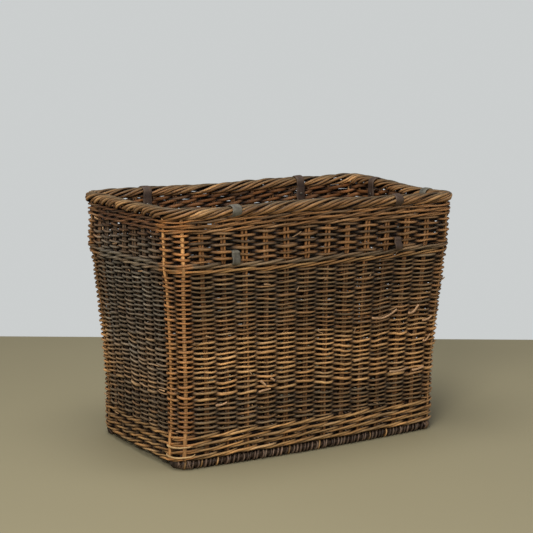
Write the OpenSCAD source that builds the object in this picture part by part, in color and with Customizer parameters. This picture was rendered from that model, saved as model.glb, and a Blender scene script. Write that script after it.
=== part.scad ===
// Tall rectangular willow basket: a woven base, stakes in pairs that lean outwards, bands of
// randing and waling round them, a rolled border, and six leather straps looped over the rim.
// The origin is the centre of the base on the floor, +X runs along the basket, +Z is up.

/* [Size] */
// Height to the top of the straps on the border
height = 660; // [560:1:760]
// Length at the floor, along the middle of the wall
foot_length = 782; // [700:1:860]
// Width at the floor, along the middle of the wall
foot_width = 428; // [390:1:480]
// How far each end leans out between the floor and the top
end_flare = 41; // [0:1:60]
// How far each long side leans out between the floor and the top
side_flare = 17; // [0:1:40]
// How far a long side bows out at the floor
foot_bow = 13; // [0:1:20]
// How far a long side bows out at the top
rim_bow = 7; // [0:1:20]
// Radius of the corners, along the middle of the wall
corner_radius = 36; // [32:1:44]

/* [Weave] */
// Thickness of the plain woven wall, which is randing
randing_wall = 21; // [19:0.5:25]
// Thickness of the heavier woven wall, which is waling
wale_wall = 26; // [24:0.5:28]
// Width of the rolled border
border_width = 34; // [33:0.5:38]
// Diameter of a stake
stake_d = 7.4; // [6:0.1:8]
// Distance between the two rods of a pair
pair_spacing = 10; // [9:0.5:11]
// Diameter of a corner post
post_d = 10; // [8:0.5:11]
// Pairs of stakes on a long side
long_pairs = 12; // [8:1:14]
// Pairs of stakes on an end
end_pairs = 7; // [5:1:8]
// How far left of even spacing the middle pairs of the long sides stand
pair_drift = 9; // [8:0.5:10]

/* [Levels] */
// Top of the woven base
base_top = 25; // [20:1:30]
// Top of the wale that sets up the sides
upsett_top = 90; // [70:1:110]
// Top of the dark lower randing
lower_top = 170; // [130:1:200]
// Top of the light randing
light_top = 310; // [260:1:350]
// Top of the dark upper part of the randing
randing_top = 493; // [460:1:500]
// Top of the wale part way up
middle_wale_top = 520; // [510:1:530]
// Top of the open randing
open_top = 592; // [585:1:600]
// Top of the wale below the border
top_wale_top = 628; // [622:1:634]

/* [Straps] */
// Width of a strap
strap_w = 25; // [20:0.5:26]
// Thickness of a strap
strap_t = 3; // [2:0.1:3]
// Height of the loop that shows on the outside, above the middle wale
loop_h = 28; // [22:1:34]
// Where the front left strap is, along the front
front_left_at = -252; // [-254:1:-248]
// Where the front right strap is, along the front
front_right_at = 238; // [236:1:246]
// Where the back left strap is, along the back
back_left_at = -257; // [-257:1:-249]
// Where the back right strap is, along the back
back_right_at = 235; // [235:1:246]
// Where the front strap of the right end is
end_front_at = -119; // [-119.5:0.5:-118.5]
// Where the back strap of the right end is
end_back_at = 119; // [118.5:0.5:119.5]

/* [Base] */
// Diameter of the two sticks along the edges of the base
edge_stick_d = 16; // [12:1:18]
// Diameter of the sticks between them
inner_stick_d = 12; // [10:1:14]
// Number of sticks between the edges
inner_sticks = 5; // [3:1:7]

/* [Hidden] */

// The four walls, in order round the basket.
FRONT = 0;
RIGHT = 1;
BACK = 2;
LEFT = 3;

clearance = 0.3;
end_bow_share = 0.6;      // an end bows this much of what a long side does
long_post_angle = 27;     // how far round its corner the post of a long side stands
end_post_angle = 3;       // how far round its corner the post of an end stands
post_inset = 34;          // from the middle line of a long wall to the post of an end
border_top = height - strap_t - clearance;
border_roll = 9;          // how far the round of the border reaches in at its edges
wall_steps = [0, 1/3, 2/3, 1];
strap_lane = border_width/2 + clearance + strap_t/2;    // middle of the inner run of a strap
tail_lane = strap_lane - strap_t - 0.5;                 // middle of its tucked ends
rivet_d = 4;
rivet_head_d = 9;
rivet_head_t = 1.2;
tail_h = 26;              // length of a tucked end
rivet_share = 0.6;        // how far along the tucked end its rivet is
lashing_d = 4;
lashing_levels = [38, 62];
edge_stick_inset = 4;     // the edge sticks lie this far inside the middle line of the wall
edge_stick_short = 7;     // and stop this far short of the middle line of the ends
foot_step = 8;            // how far the base reaches past the middle line of the wall

WILLOW = [0.40, 0.29, 0.19];
LIGHT_WILLOW = [0.48, 0.35, 0.22];
DARK_WILLOW = [0.29, 0.22, 0.15];
POST_WILLOW = [0.52, 0.37, 0.23];
GREY_WILLOW = [0.36, 0.32, 0.24];
BROWN_LEATHER = [0.24, 0.17, 0.12];
GREY_LEATHER = [0.38, 0.37, 0.31];
DULL_STEEL = [0.35, 0.33, 0.30];

// ---- the outline of the wall ----

// The wall leans out little by little, as the square of the height.
function lean(z) = (z/height)*(z/height);
function half_length(z) = foot_length/2 + end_flare*lean(z);
function half_width(z) = foot_width/2 + side_flare*lean(z);
function bow(z) = foot_bow + (rim_bow - foot_bow)*lean(z);

function is_long(wall) = wall == FRONT || wall == BACK;
function along_half(wall, z) = is_long(wall) ? half_length(z) : half_width(z);
function away_half(wall, z) = is_long(wall) ? half_width(z) : half_length(z);
function bow_of(wall, z) = is_long(wall) ? bow(z) : end_bow_share*bow(z);

// Distance from the centre of the basket to the middle of a wall, at a place along it.
function away(wall, along, z) =
    let (f = along/(along_half(wall, z) - corner_radius))
    away_half(wall, z) + bow_of(wall, z)*(1 - min(1, f*f));

// Turns a point given as along a wall and away from the centre into the basket's frame.
function turned(wall, p) =
    wall == FRONT ? [p.x, -p.y] :
    wall == RIGHT ? [p.y, p.x] :
    wall == BACK ? [-p.x, p.y] : [-p.y, -p.x];

// A station is [wall, share of the half wall, angle round the next corner]. The angle is 0 on
// the wall itself. The point is moved along the wall and out of it.
function on_wall(s, z, along, out) =
    let (x = s[1]*along_half(s[0], z) + along)
    turned(s[0], [x, away(s[0], x, z) + out]);
function on_corner(s, z, along, out) =
    let (cx = along_half(s[0], z) - corner_radius,
         cy = away_half(s[0], z) - corner_radius,
         r = corner_radius + out)
    turned(s[0], [cx + r*sin(s[2]) + along*cos(s[2]), cy + r*cos(s[2]) - along*sin(s[2])]);
function plan(s, z, along, out) = s[2] == 0 ? on_wall(s, z, along, out) : on_corner(s, z, along, out);
function in_space(s, z, along, out) = let (p = plan(s, z, along, out)) [p.x, p.y, z];

// ---- where the stakes stand ----

long_step = 2*0.872/(long_pairs - 0.1);
end_step = 2*(1 - post_inset/(foot_width/2))/(end_pairs + 1);

// The pairs of a long side drift to the left, most at its middle. Along the back, left is forward.
function drifted(wall, share) =
    let (sense = wall == FRONT ? -1 : wall == BACK ? 1 : 0)
    share + sense*pair_drift/(foot_length/2)*(1 - share*share);

function pair_stations(wall) =
    let (n = is_long(wall) ? long_pairs : end_pairs, step = is_long(wall) ? long_step : end_step)
    [for (k = [0:n - 1]) [wall, drifted(wall, (k - (n - 1)/2)*step), 0]];
function post_angles(wall) =
    is_long(wall) ? [long_post_angle, 90 - end_post_angle] : [end_post_angle, 90 - long_post_angle];
function post_stations(wall) = [for (a = post_angles(wall)) [wall, 1, a]];
function corner_middle(wall) = (post_angles(wall)[0] + post_angles(wall)[1])/2;

// ---- the woven bands ----

// Every place round a band where its section is drawn, as [station, shift along, opens a pocket].
function pocket_marks(stations, half) =
    [for (s = stations) each [[s, -half, true], [s, half, false]]];
pair_half = pair_spacing/2 + stake_d/2 + clearance;
post_half = post_d/2 + clearance;
function corner_marks(wall) =
    let (posts = post_stations(wall))
    concat(pocket_marks([posts[0]], post_half),
        [[[wall, 1, corner_middle(wall)], 0, false]],
        pocket_marks([posts[1]], post_half));
band_marks = [for (wall = [FRONT:LEFT])
    each concat(pocket_marks(pair_stations(wall), pair_half), corner_marks(wall))];

function pocket_depth(mark) = mark[0][2] == 0 ? stake_d/2 + clearance : post_d/2 + clearance;
function band_column(mark, z, wall_t) =
    [for (out = [wall_t/2, pocket_depth(mark), -pocket_depth(mark), -wall_t/2])
        in_space(mark[0], z, mark[1], out)];

// A band is a closed ring of weave with one upright pocket for each pair of stakes. Its points
// go level by level, then mark by mark, then from the outside in. A quad is split in two.
module band(levels, wall_t) {
    m = len(band_marks);
    top = len(levels) - 1;
    points = [for (z = levels) for (mark = band_marks) each band_column(mark, z, wall_t)];
    function at(level, j, p) = (level*m + j % m)*4 + p;
    function quad(a, b, c, d) = [[a, b, c], [a, c, d]];
    upright = [for (l = [0:top - 1]) for (j = [0:m - 1]) each concat(
        quad(at(l, j, 0), at(l + 1, j, 0), at(l + 1, j + 1, 0), at(l, j + 1, 0)),
        quad(at(l, j, 3), at(l, j + 1, 3), at(l + 1, j + 1, 3), at(l + 1, j, 3)))];
    pockets = [for (l = [0:top - 1]) for (j = [0:m - 1]) if (band_marks[j][2]) each concat(
        quad(at(l, j, 1), at(l, j + 1, 1), at(l + 1, j + 1, 1), at(l + 1, j, 1)),
        quad(at(l, j, 2), at(l + 1, j, 2), at(l + 1, j + 1, 2), at(l, j + 1, 2)),
        quad(at(l, j, 1), at(l + 1, j, 1), at(l + 1, j, 2), at(l, j, 2)),
        quad(at(l, j + 1, 1), at(l, j + 1, 2), at(l + 1, j + 1, 2), at(l + 1, j + 1, 1)))];
    flats = [for (j = [0:m - 1]) for (p = [0:2]) if (p != 1 || !band_marks[j][2]) each concat(
        quad(at(top, j, p), at(top, j, p + 1), at(top, j + 1, p + 1), at(top, j + 1, p)),
        quad(at(0, j, p), at(0, j + 1, p), at(0, j + 1, p + 1), at(0, j, p + 1)))];
    polyhedron(points, concat(upright, pockets, flats), convexity = 10);
}

module upsett_wale() { color(LIGHT_WILLOW) band([base_top, upsett_top], wale_wall); }
module randing_lower() { color(DARK_WILLOW) band([upsett_top, lower_top], randing_wall); }
module randing_light() { color(WILLOW) band([lower_top, light_top], randing_wall); }
module randing_upper() {
    middle = (light_top + randing_top)/2;
    color(DARK_WILLOW) band([light_top, middle, randing_top], randing_wall);
}
module middle_wale() { color(LIGHT_WILLOW) band([randing_top, middle_wale_top], wale_wall); }

module open_randing() {
    color(WILLOW) difference() {
        band([middle_wale_top, open_top], randing_wall);
        for (strap = STRAPS) {
            strap_slot(strap, middle_wale_top - 1, middle_wale_top + strap_t + 2*clearance);
            strap_slot(strap, loop_top - strap_t - 2*clearance, loop_top);
        }
    }
}

module top_wale() {
    color(WILLOW) difference() {
        band([open_top, top_wale_top], wale_wall);
        for (strap = STRAPS)
            strap_slot(strap, top_wale_top - strap_t - 2*clearance, top_wale_top + 1);
    }
}

// The border is a ring with a rounded section.
module border() {
    half = border_width/2;
    low = top_wale_top;
    high = border_top;
    section = [[half, low + border_roll], [half, high - border_roll], [half - border_roll, high],
        [border_roll - half, high], [-half, high - border_roll], [-half, low + border_roll],
        [border_roll - half, low], [half - border_roll, low]];
    n = len(section);
    m = len(band_marks);
    points = [for (mark = band_marks) for (r = section)
        let (p = plan(mark[0], top_wale_top, mark[1], r.x)) [p.x, p.y, r.y]];
    function at(j, k) = (j % m)*n + k % n;
    faces = [for (j = [0:m - 1]) for (k = [0:n - 1])
        each [[at(j, k), at(j, k + 1), at(j + 1, k + 1)], [at(j, k), at(j + 1, k + 1), at(j + 1, k)]]];
    color(GREY_WILLOW) polyhedron(points, faces, convexity = 10);
}

// ---- stakes and posts ----

// A rod is a six-sided tube that follows the lean of the wall at one station.
module rod(s, shift, d, sides = 6) {
    levels = [for (f = wall_steps) base_top + f*(top_wale_top - base_top)];
    rings = [for (z = levels) [for (k = [0:sides - 1])
        in_space(s, z, shift + d/2*cos(360*k/sides), d/2*sin(360*k/sides))]];
    points = [for (r = rings) each r];
    last = len(levels) - 1;
    function at(l, k) = l*sides + k % sides;
    walls = [for (l = [0:last - 1]) for (k = [0:sides - 1])
        each [[at(l, k), at(l + 1, k), at(l + 1, k + 1)], [at(l, k), at(l + 1, k + 1), at(l, k + 1)]]];
    bottom = [for (k = [0:sides - 1]) at(0, k)];
    lid = [for (k = [sides - 1:-1:0]) at(last, k)];
    polyhedron(points, concat(walls, [bottom, lid]));
}

module stakes(wall) { color(WILLOW) for (s = pair_stations(wall)) rod(s, -pair_spacing/2, stake_d); }
module by_stakes(wall) { color(WILLOW) for (s = pair_stations(wall)) rod(s, pair_spacing/2, stake_d); }
module corner_posts(wall) { color(POST_WILLOW) for (s = post_stations(wall)) rod(s, 0, post_d); }

module stakes_front() { stakes(FRONT); }
module stakes_back() { stakes(BACK); }
module stakes_left() { stakes(LEFT); }
module stakes_right() { stakes(RIGHT); }
module by_stakes_front() { by_stakes(FRONT); }
module by_stakes_back() { by_stakes(BACK); }
module by_stakes_left() { by_stakes(LEFT); }
module by_stakes_right() { by_stakes(RIGHT); }
module corner_posts_front_right() { corner_posts(FRONT); }
module corner_posts_back_right() { corner_posts(RIGHT); }
module corner_posts_back_left() { corner_posts(BACK); }
module corner_posts_front_left() { corner_posts(LEFT); }

// ---- the base ----

edge_stick_y = foot_width/2 - edge_stick_d/2 - edge_stick_inset;
stick_z = base_top/2;
edge_stick_length = foot_length - 2*edge_stick_short;
inner_stick_length = foot_length + foot_step;
channel_length = foot_length + 10*foot_step;
inner_stick_ys = [for (k = [1:inner_sticks]) edge_stick_y*(2*k/(inner_sticks + 1) - 1)];

module stick(y, d, length) {
    translate([-length/2, y, stick_z]) rotate([0, 90, 0]) cylinder(h = length, d = d, $fn = 48);
}

base_outline = [for (mark = band_marks) plan(mark[0], 0, mark[1], foot_step)];

module base_weave() {
    color(GREY_WILLOW) difference() {
        linear_extrude(base_top) polygon(base_outline);
        for (y = [-edge_stick_y, edge_stick_y]) stick(y, edge_stick_d + 2*clearance, channel_length);
        for (y = inner_stick_ys) stick(y, inner_stick_d + 2*clearance, channel_length);
    }
}
module base_edge_stick_front() { color(WILLOW) stick(-edge_stick_y, edge_stick_d, edge_stick_length); }
module base_edge_stick_back() { color(WILLOW) stick(edge_stick_y, edge_stick_d, edge_stick_length); }
module base_sticks() {
    color(WILLOW) for (y = inner_stick_ys) stick(y, inner_stick_d, inner_stick_length);
}

// Two thin rods tie the posts of the front left corner to the upsett wale.
module corner_lashing() {
    color(POST_WILLOW) for (z = lashing_levels)
        translate([corner_radius - half_length(z), corner_radius - half_width(z), z])
            rotate([0, 0, 172])
                rotate_extrude(angle = 106, $fn = 96)
                    translate([corner_radius + wale_wall/2 + lashing_d/2 + clearance, 0])
                        circle(d = lashing_d, $fn = 24);
}

// ---- the straps ----

loop_top = middle_wale_top + clearance + loop_h;

STRAP_FRONT_LEFT = [FRONT, front_left_at];
STRAP_FRONT_RIGHT = [FRONT, front_right_at];
STRAP_BACK_LEFT = [BACK, -back_left_at];
STRAP_BACK_RIGHT = [BACK, -back_right_at];
STRAP_END_FRONT = [RIGHT, end_front_at];
STRAP_END_BACK = [RIGHT, end_back_at];
STRAPS = [STRAP_FRONT_LEFT, STRAP_FRONT_RIGHT, STRAP_BACK_LEFT, STRAP_BACK_RIGHT,
    STRAP_END_FRONT, STRAP_END_BACK];

// Puts a side view, drawn as away from the centre and up, on its wall.
module on_wall_at(strap, width) {
    turn = [0, 90, 180, 270][strap[0]];
    rotate([0, 0, turn]) translate([strap[1] + width/2, 0, 0])
        rotate([90, 0, -90]) linear_extrude(width) children();
}

module strap_slot(strap, low, high) {
    z = (low + high)/2;
    d = away(strap[0], strap[1], z);
    on_wall_at(strap, strap_w + 2*clearance) translate([d - wale_wall, low])
        square([2*wale_wall, high - low]);
}

// The middle line of a strap from its upper tail to its lower one: up through the slot under the
// border, over the border, down inside, out above the middle wale and in again.
function strap_line(strap) =
    let (slot_top = top_wale_top - clearance - strap_t/2,
         slot_low = middle_wale_top + clearance + strap_t/2,
         slot_mid = loop_top - clearance - strap_t/2,
         over = border_top + strap_t/2,
         face = randing_wall/2 + clearance + strap_t/2,
         view = [[-tail_lane, slot_top - tail_h], [-tail_lane, slot_top],
             [strap_lane, slot_top], [strap_lane, over], [-strap_lane, over],
             [-strap_lane, slot_low], [face, slot_low], [face, slot_mid],
             [-tail_lane, slot_mid], [-tail_lane, slot_mid + tail_h]])
    [for (p = view) [away(strap[0], strap[1], min(p.y, top_wale_top)) + p.x, p.y]];

function unit(v) = v/norm(v);
function square_to(v) = [-v.y, v.x];
// The point of a line moved to one side by a distance, with a mitre where the line turns.
function moved(line, i, distance) =
    let (before = unit(line[max(i, 1)] - line[max(i, 1) - 1]),
         after = unit(line[min(i, len(line) - 2) + 1] - line[min(i, len(line) - 2)]),
         middle = unit(square_to(before) + square_to(after)))
    line[i] + middle*distance/(middle*square_to(before));

// Heights of the two rivets of a strap, each through a tail and the inner run.
rivet_zs = [top_wale_top - strap_t/2 - tail_h*rivet_share, loop_top - strap_t/2 + tail_h*rivet_share];
function rivet_view(strap, z) = [away(strap[0], strap[1], z) - (strap_lane + tail_lane)/2, z];
rivet_half = (strap_lane - tail_lane + strap_t)/2;

module across(strap, z) {
    p = rivet_view(strap, z);
    turn = [0, 90, 180, 270][strap[0]];
    rotate([0, 0, turn]) translate([strap[1], -p.x, z]) rotate([90, 0, 0]) children();
}

module strap(strap, leather) {
    line = strap_line(strap);
    n = len(line);
    edge = concat([for (i = [0:n - 1]) moved(line, i, strap_t/2)],
        [for (i = [n - 1:-1:0]) moved(line, i, -strap_t/2)]);
    color(leather) difference() {
        on_wall_at(strap, strap_w) polygon(edge);
        for (z = rivet_zs) across(strap, z)
            cylinder(h = 4*rivet_half, d = rivet_d, center = true, $fn = 32);
    }
}

module rivet(strap, z) {
    across(strap, z) {
        cylinder(h = 2*rivet_half, d = rivet_d, center = true, $fn = 32);
        for (side = [-1, 1]) translate([0, 0, side*(rivet_half + rivet_head_t/2)])
            cylinder(h = rivet_head_t, d = rivet_head_d, center = true, $fn = 32);
    }
}

module strap_front_left() { strap(STRAP_FRONT_LEFT, GREY_LEATHER); }
module strap_front_right() { strap(STRAP_FRONT_RIGHT, BROWN_LEATHER); }
module strap_back_left() { strap(STRAP_BACK_LEFT, BROWN_LEATHER); }
module strap_back_right() { strap(STRAP_BACK_RIGHT, BROWN_LEATHER); }
module strap_end_front() { strap(STRAP_END_FRONT, GREY_LEATHER); }
module strap_end_back() { strap(STRAP_END_BACK, BROWN_LEATHER); }
module strap_rivets() {
    color(DULL_STEEL) for (strap = STRAPS) for (z = rivet_zs) rivet(strap, z);
}

base_weave();
base_edge_stick_front();
base_edge_stick_back();
base_sticks();
corner_posts_front_left();
corner_posts_front_right();
corner_posts_back_left();
corner_posts_back_right();
stakes_front();
stakes_back();
stakes_left();
stakes_right();
by_stakes_front();
by_stakes_back();
by_stakes_left();
by_stakes_right();
upsett_wale();
randing_lower();
randing_light();
randing_upper();
middle_wale();
open_randing();
top_wale();
border();
strap_front_left();
strap_front_right();
strap_back_left();
strap_back_right();
strap_end_front();
strap_end_back();
strap_rivets();
corner_lashing();
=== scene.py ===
"""A tall rectangular basket of unpeeled willow, with leather straps looped over its rim.

Every willow rod is a tapered tube carried along its own path round the stakes. The paths follow
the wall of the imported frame: a rectangle with round corners and slightly bowed sides, which
leans out as the square of the height. A place round the wall is counted in stations, one for
each pair of stakes or corner post, so a weaver only has to swing out at even stations and in at
odd ones. Lengths are in metres, and random choices are seeded.
"""
import math

import bpy
import mathutils
import numpy as np
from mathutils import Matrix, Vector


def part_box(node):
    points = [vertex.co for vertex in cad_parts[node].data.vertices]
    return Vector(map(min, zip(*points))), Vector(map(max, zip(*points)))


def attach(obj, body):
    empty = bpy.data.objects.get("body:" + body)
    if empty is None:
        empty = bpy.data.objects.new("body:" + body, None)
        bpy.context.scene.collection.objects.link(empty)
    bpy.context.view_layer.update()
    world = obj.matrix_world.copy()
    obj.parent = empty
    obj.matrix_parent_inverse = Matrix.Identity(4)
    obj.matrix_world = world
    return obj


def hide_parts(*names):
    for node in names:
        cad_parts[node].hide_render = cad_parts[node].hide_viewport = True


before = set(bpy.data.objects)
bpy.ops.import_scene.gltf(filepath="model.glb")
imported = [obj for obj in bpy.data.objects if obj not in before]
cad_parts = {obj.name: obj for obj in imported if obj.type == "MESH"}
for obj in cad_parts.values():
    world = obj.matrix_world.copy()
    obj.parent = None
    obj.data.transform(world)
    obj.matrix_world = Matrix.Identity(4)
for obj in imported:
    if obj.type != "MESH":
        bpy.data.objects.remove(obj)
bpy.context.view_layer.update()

# ---- the wall, as in the frame ----

HEIGHT = 0.660
FOOT_HALF_LENGTH = 0.391
FOOT_HALF_WIDTH = 0.214
END_FLARE = 0.041
SIDE_FLARE = 0.017
FOOT_BOW = 0.013
RIM_BOW = 0.007
END_BOW_SHARE = 0.6
CORNER_RADIUS = 0.036
QUARTER_TURN = CORNER_RADIUS * math.pi / 2

LONG_PAIRS = 12
END_PAIRS = 7
PAIRS_REACH = 0.872   # share of a long side that its pairs of stakes take up
LONG_STEP = 2 * PAIRS_REACH / (LONG_PAIRS - 0.1)
PAIR_DRIFT = 0.009
POST_INSET = 0.034
END_STEP = 2 * (1 - POST_INSET / FOOT_HALF_WIDTH) / (END_PAIRS + 1)
LONG_POST_ANGLE = math.radians(27)
END_POST_ANGLE = math.radians(3)

STAKE_RADIUS = 0.0037
POST_RADIUS = 0.0050
PAIR_SPACING = 0.0098
STRAP_WIDTH = 0.025
STRAP_THICKNESS = 0.003


def node_levels(node):
    """Lowest and highest level of a CAD node."""
    low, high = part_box(node)
    return low.z, high.z


BASE_TOP = node_levels("base_weave")[1]
UPSETT = node_levels("upsett_wale")
LOWER = node_levels("randing_lower")
UPPER = node_levels("randing_upper")
MIDDLE_WALE = node_levels("middle_wale")
OPEN = node_levels("open_randing")
TOP_WALE = node_levels("top_wale")
BORDER = node_levels("border")


def lean(z):
    """Share of the full lean at a level: the square of its share of the height."""
    return (z / HEIGHT) ** 2


def half_length(z):
    """Half the length of the wall's middle line at a level."""
    return FOOT_HALF_LENGTH + END_FLARE * lean(z)


def half_width(z):
    """Half the width of the wall's middle line at a level."""
    return FOOT_HALF_WIDTH + SIDE_FLARE * lean(z)


def bow(z):
    """How far the middle of a long side stands out at a level."""
    return FOOT_BOW + (RIM_BOW - FOOT_BOW) * lean(z)


def drifted(wall, share):
    """Share of the half wall where a pair stands.

    On a long side the pairs drift to the left, by PAIR_DRIFT * (1 - share^2).
    """
    sense = (-1, 0, 1, 0)[wall]
    return share + sense * PAIR_DRIFT / FOOT_HALF_LENGTH * (1 - share * share)


def station_table():
    """Arc length of each station as constant + a * half length + b * half width.

    It starts at the front left end of the front's straight stretch and runs to the right, up
    the right end, back along the back and down the left end. The last row is one whole lap.
    """
    rows = []
    start = np.zeros(3)
    kinds = []
    for wall in range(4):
        long = wall % 2 == 0
        count, step = (LONG_PAIRS, LONG_STEP) if long else (END_PAIRS, END_STEP)
        half = np.array([0, 1, 0]) if long else np.array([0, 0, 1])
        middle = start + half - np.array([CORNER_RADIUS, 0, 0])
        for k in range(count):
            rows.append(middle + drifted(wall, (k - (count - 1) / 2) * step) * half)
            kinds.append("pair")
        end = start + 2 * half - np.array([2 * CORNER_RADIUS, 0, 0])
        first, second = (LONG_POST_ANGLE, END_POST_ANGLE) if long else (END_POST_ANGLE, LONG_POST_ANGLE)
        for angle in (first, math.pi / 2 - second):
            rows.append(end + np.array([CORNER_RADIUS * angle, 0, 0]))
            kinds.append("post")
        start = end + np.array([QUARTER_TURN, 0, 0])
    rows.append(rows[0] + start)
    return np.array(rows), np.array(kinds)


STATION_ARC, STATION_KIND = station_table()
STATIONS = len(STATION_KIND)
IS_POST = STATION_KIND == "post"
FRONT_LEFT_POSTS = STATIONS - 1.5
POST_LEAN = np.zeros(STATIONS + 1)
POST_LEAN[STATIONS - 2:STATIONS] = (0.0093, 0.0168)   # the front left posts lean to the right
POST_PLUMB_AT = 0.35


def wall_stations(wall):
    """Numbers of the stations with a pair of stakes on a wall: 0 front, 1 right, 2 back, 3 left."""
    first = (0, LONG_PAIRS + 2, LONG_PAIRS + END_PAIRS + 4, 2 * LONG_PAIRS + END_PAIRS + 6)[wall]
    return first + np.arange(LONG_PAIRS if wall % 2 == 0 else END_PAIRS)


def neighbours(u):
    """The stations before and after a place round the wall, and the share of the way between."""
    turn = np.mod(u, STATIONS)
    index = np.floor(turn).astype(int) % STATIONS
    return index, (index + 1) % STATIONS, turn - np.floor(turn)


def arc_length(u, z):
    """Arc length at station count u and level z, in even steps from one station to the next."""
    lap = np.floor(u / STATIONS)
    u = u - lap * STATIONS
    index = np.minimum(np.floor(u).astype(int), STATIONS - 1)
    share = u - index
    sizes = np.stack([np.ones_like(z), half_length(z), half_width(z)], axis=-1)
    tilt = z / HEIGHT - POST_PLUMB_AT
    here = (STATION_ARC[index] * sizes).sum(-1) + POST_LEAN[index] * tilt
    there = (STATION_ARC[index + 1] * sizes).sum(-1) + POST_LEAN[index + 1] * tilt
    return here + share * (there - here)


def wall_frame(u, z):
    """Point on the wall's middle line and its outward direction, at station count u and level z.

    On a straight stretch the wall stands out by bow * (1 - f * f), where f runs from -1 to 1,
    and round a corner it is a circular arc.
    """
    u, z = np.broadcast_arrays(np.asarray(u, float), np.asarray(z, float))
    s = arc_length(u, z)
    lap = 4 * (half_length(z) + half_width(z) - 2 * CORNER_RADIUS + QUARTER_TURN)
    s = s % lap
    point = np.zeros(s.shape + (2,))
    normal = np.zeros(s.shape + (2,))
    start = np.zeros_like(s)
    for wall in range(4):
        long = wall % 2 == 0
        along = half_length(z) if long else half_width(z)
        away = half_width(z) if long else half_length(z)
        stand = bow(z) * (1 if long else END_BOW_SHARE)
        reach = along - CORNER_RADIUS
        here = (s >= start) & (s < start + 2 * reach + QUARTER_TURN)
        x = s - start - reach
        f = np.clip(x / reach, -1, 1)
        angle = np.clip((x - reach) / CORNER_RADIUS, 0, math.pi / 2)
        straight = x <= reach
        px = np.where(straight, x, reach + CORNER_RADIUS * np.sin(angle))
        py = np.where(straight, away + stand * (1 - f * f), away - CORNER_RADIUS * (1 - np.cos(angle)))
        nx = np.where(straight, 2 * stand * f / reach, np.sin(angle))
        ny = np.where(straight, 1.0, np.cos(angle))
        size = np.hypot(nx, ny)
        turned = turn_to_wall(wall, px, py)
        turned_normal = turn_to_wall(wall, nx / size, ny / size)
        point[here] = turned[here]
        normal[here] = turned_normal[here]
        start = start + 2 * reach + QUARTER_TURN
    flat = np.zeros(s.shape + (1,))
    return np.concatenate([point, z[..., None]], -1), np.concatenate([normal, flat], -1)


def turn_to_wall(wall, along, away):
    """Turns places along and away from the centre into x and y: 0 front, 1 right, 2 back, 3 left."""
    x, y = ((along, -away), (away, along), (-along, away), (-away, -along))[wall]
    return np.stack([x, y], -1)


def on_wall(u, z, out):
    """Points at a distance out from the middle line, and the wall's outward directions there."""
    point, normal = wall_frame(u, z)
    return point + np.asarray(out)[..., None] * normal, normal


# ---- helpers for whole arrays ----

def unit(v):
    """Vectors scaled to length one."""
    return v / np.maximum(np.linalg.norm(v, axis=-1, keepdims=True), 1e-12)


def smooth_step(low, high, x):
    """0 below low, 1 above high, and 3t^2 - 2t^3 between."""
    t = np.clip((x - low) / (high - low), 0, 1)
    return t * t * (3 - 2 * t)


def blend(a, b, share):
    """a where share is 0, b where it is 1."""
    return a + (b - a) * share


def plateau(x, sharpness=1.7):
    """A swing from -1 to 1 that is flatter at its ends: tanh, scaled to reach 1."""
    return np.tanh(sharpness * x) / math.tanh(sharpness)


class Drift:
    """Smooth random drift round the basket: a sum of sines that closes after one lap.

    It has as many sines as waves, of up to fastest turns a lap, and each moves along from row to
    row by about row_rate.
    """

    def __init__(self, rng, waves, fastest, row_rate):
        self.turns = rng.integers(1, fastest + 1, waves)
        self.rates = rng.normal(0, row_rate, waves)
        self.phases = rng.uniform(0, 2 * math.pi, waves)
        self.sizes = rng.uniform(0.5, 1, waves) * math.sqrt(2 / waves)

    def at(self, u, row):
        """Drift at station count u and row: the sum of size * sin(turns * u + rate * row + phase)."""
        u, row = np.broadcast_arrays(np.asarray(u, float), np.asarray(row, float))
        total = np.zeros(u.shape)
        for turn, rate, phase, size in zip(self.turns, self.rates, self.phases, self.sizes):
            total += size * np.sin(2 * math.pi * turn * u / STATIONS + rate * row + phase)
        return total


# ---- tubes and meshes ----

SIDES = 8          # sides of a rod's ring
POLE_REACH = 0.3   # how far a pole stands past the last ring, in radii


def ring_directions(path, outward, sides, tall=1.0):
    """Directions from each point of a path to the corners of its ring, and along the path.

    A ring lies square to the path, and up faces out of the wall: cos a * up + tall * sin a * side.
    """
    tangent = unit(np.gradient(path, axis=1))
    side = unit(np.cross(tangent, outward))
    up = np.cross(side, tangent)
    angle = 2 * math.pi * np.arange(sides) / sides
    stretch = np.broadcast_to(tall, path.shape[:2])[:, :, None, None]
    ring = np.cos(angle)[:, None] * up[:, :, None] + stretch * np.sin(angle)[:, None] * side[:, :, None]
    return ring, tangent


def ring_faces(rings, sides):
    """Quads between the rings of a tube, and triangles at its two poles, which come last."""
    k = np.arange(sides)
    following = (k + 1) % sides
    start = np.arange(rings - 1)[:, None] * sides
    quads = np.stack([start + k, start + following, start + sides + following, start + sides + k], -1)
    pole = rings * sides
    last = pole - sides
    first_cap = np.stack([np.full(sides, pole), following, k], -1)
    last_cap = np.stack([np.full(sides, pole + 1), last + k, last + following], -1)
    return quads.reshape(-1, 4), np.concatenate([first_cap, last_cap])


def closed_tube(skin, poles):
    """Points and faces of one tube whose rings turn the other way from a rod's rings."""
    quads, triangles = ring_faces(*skin.shape[:2])
    return {"verts": np.concatenate([skin.reshape(-1, 3), poles]),
            "quads": quads[:, [0, 3, 2, 1]], "triangles": triangles[:, [0, 2, 1]]}


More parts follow.
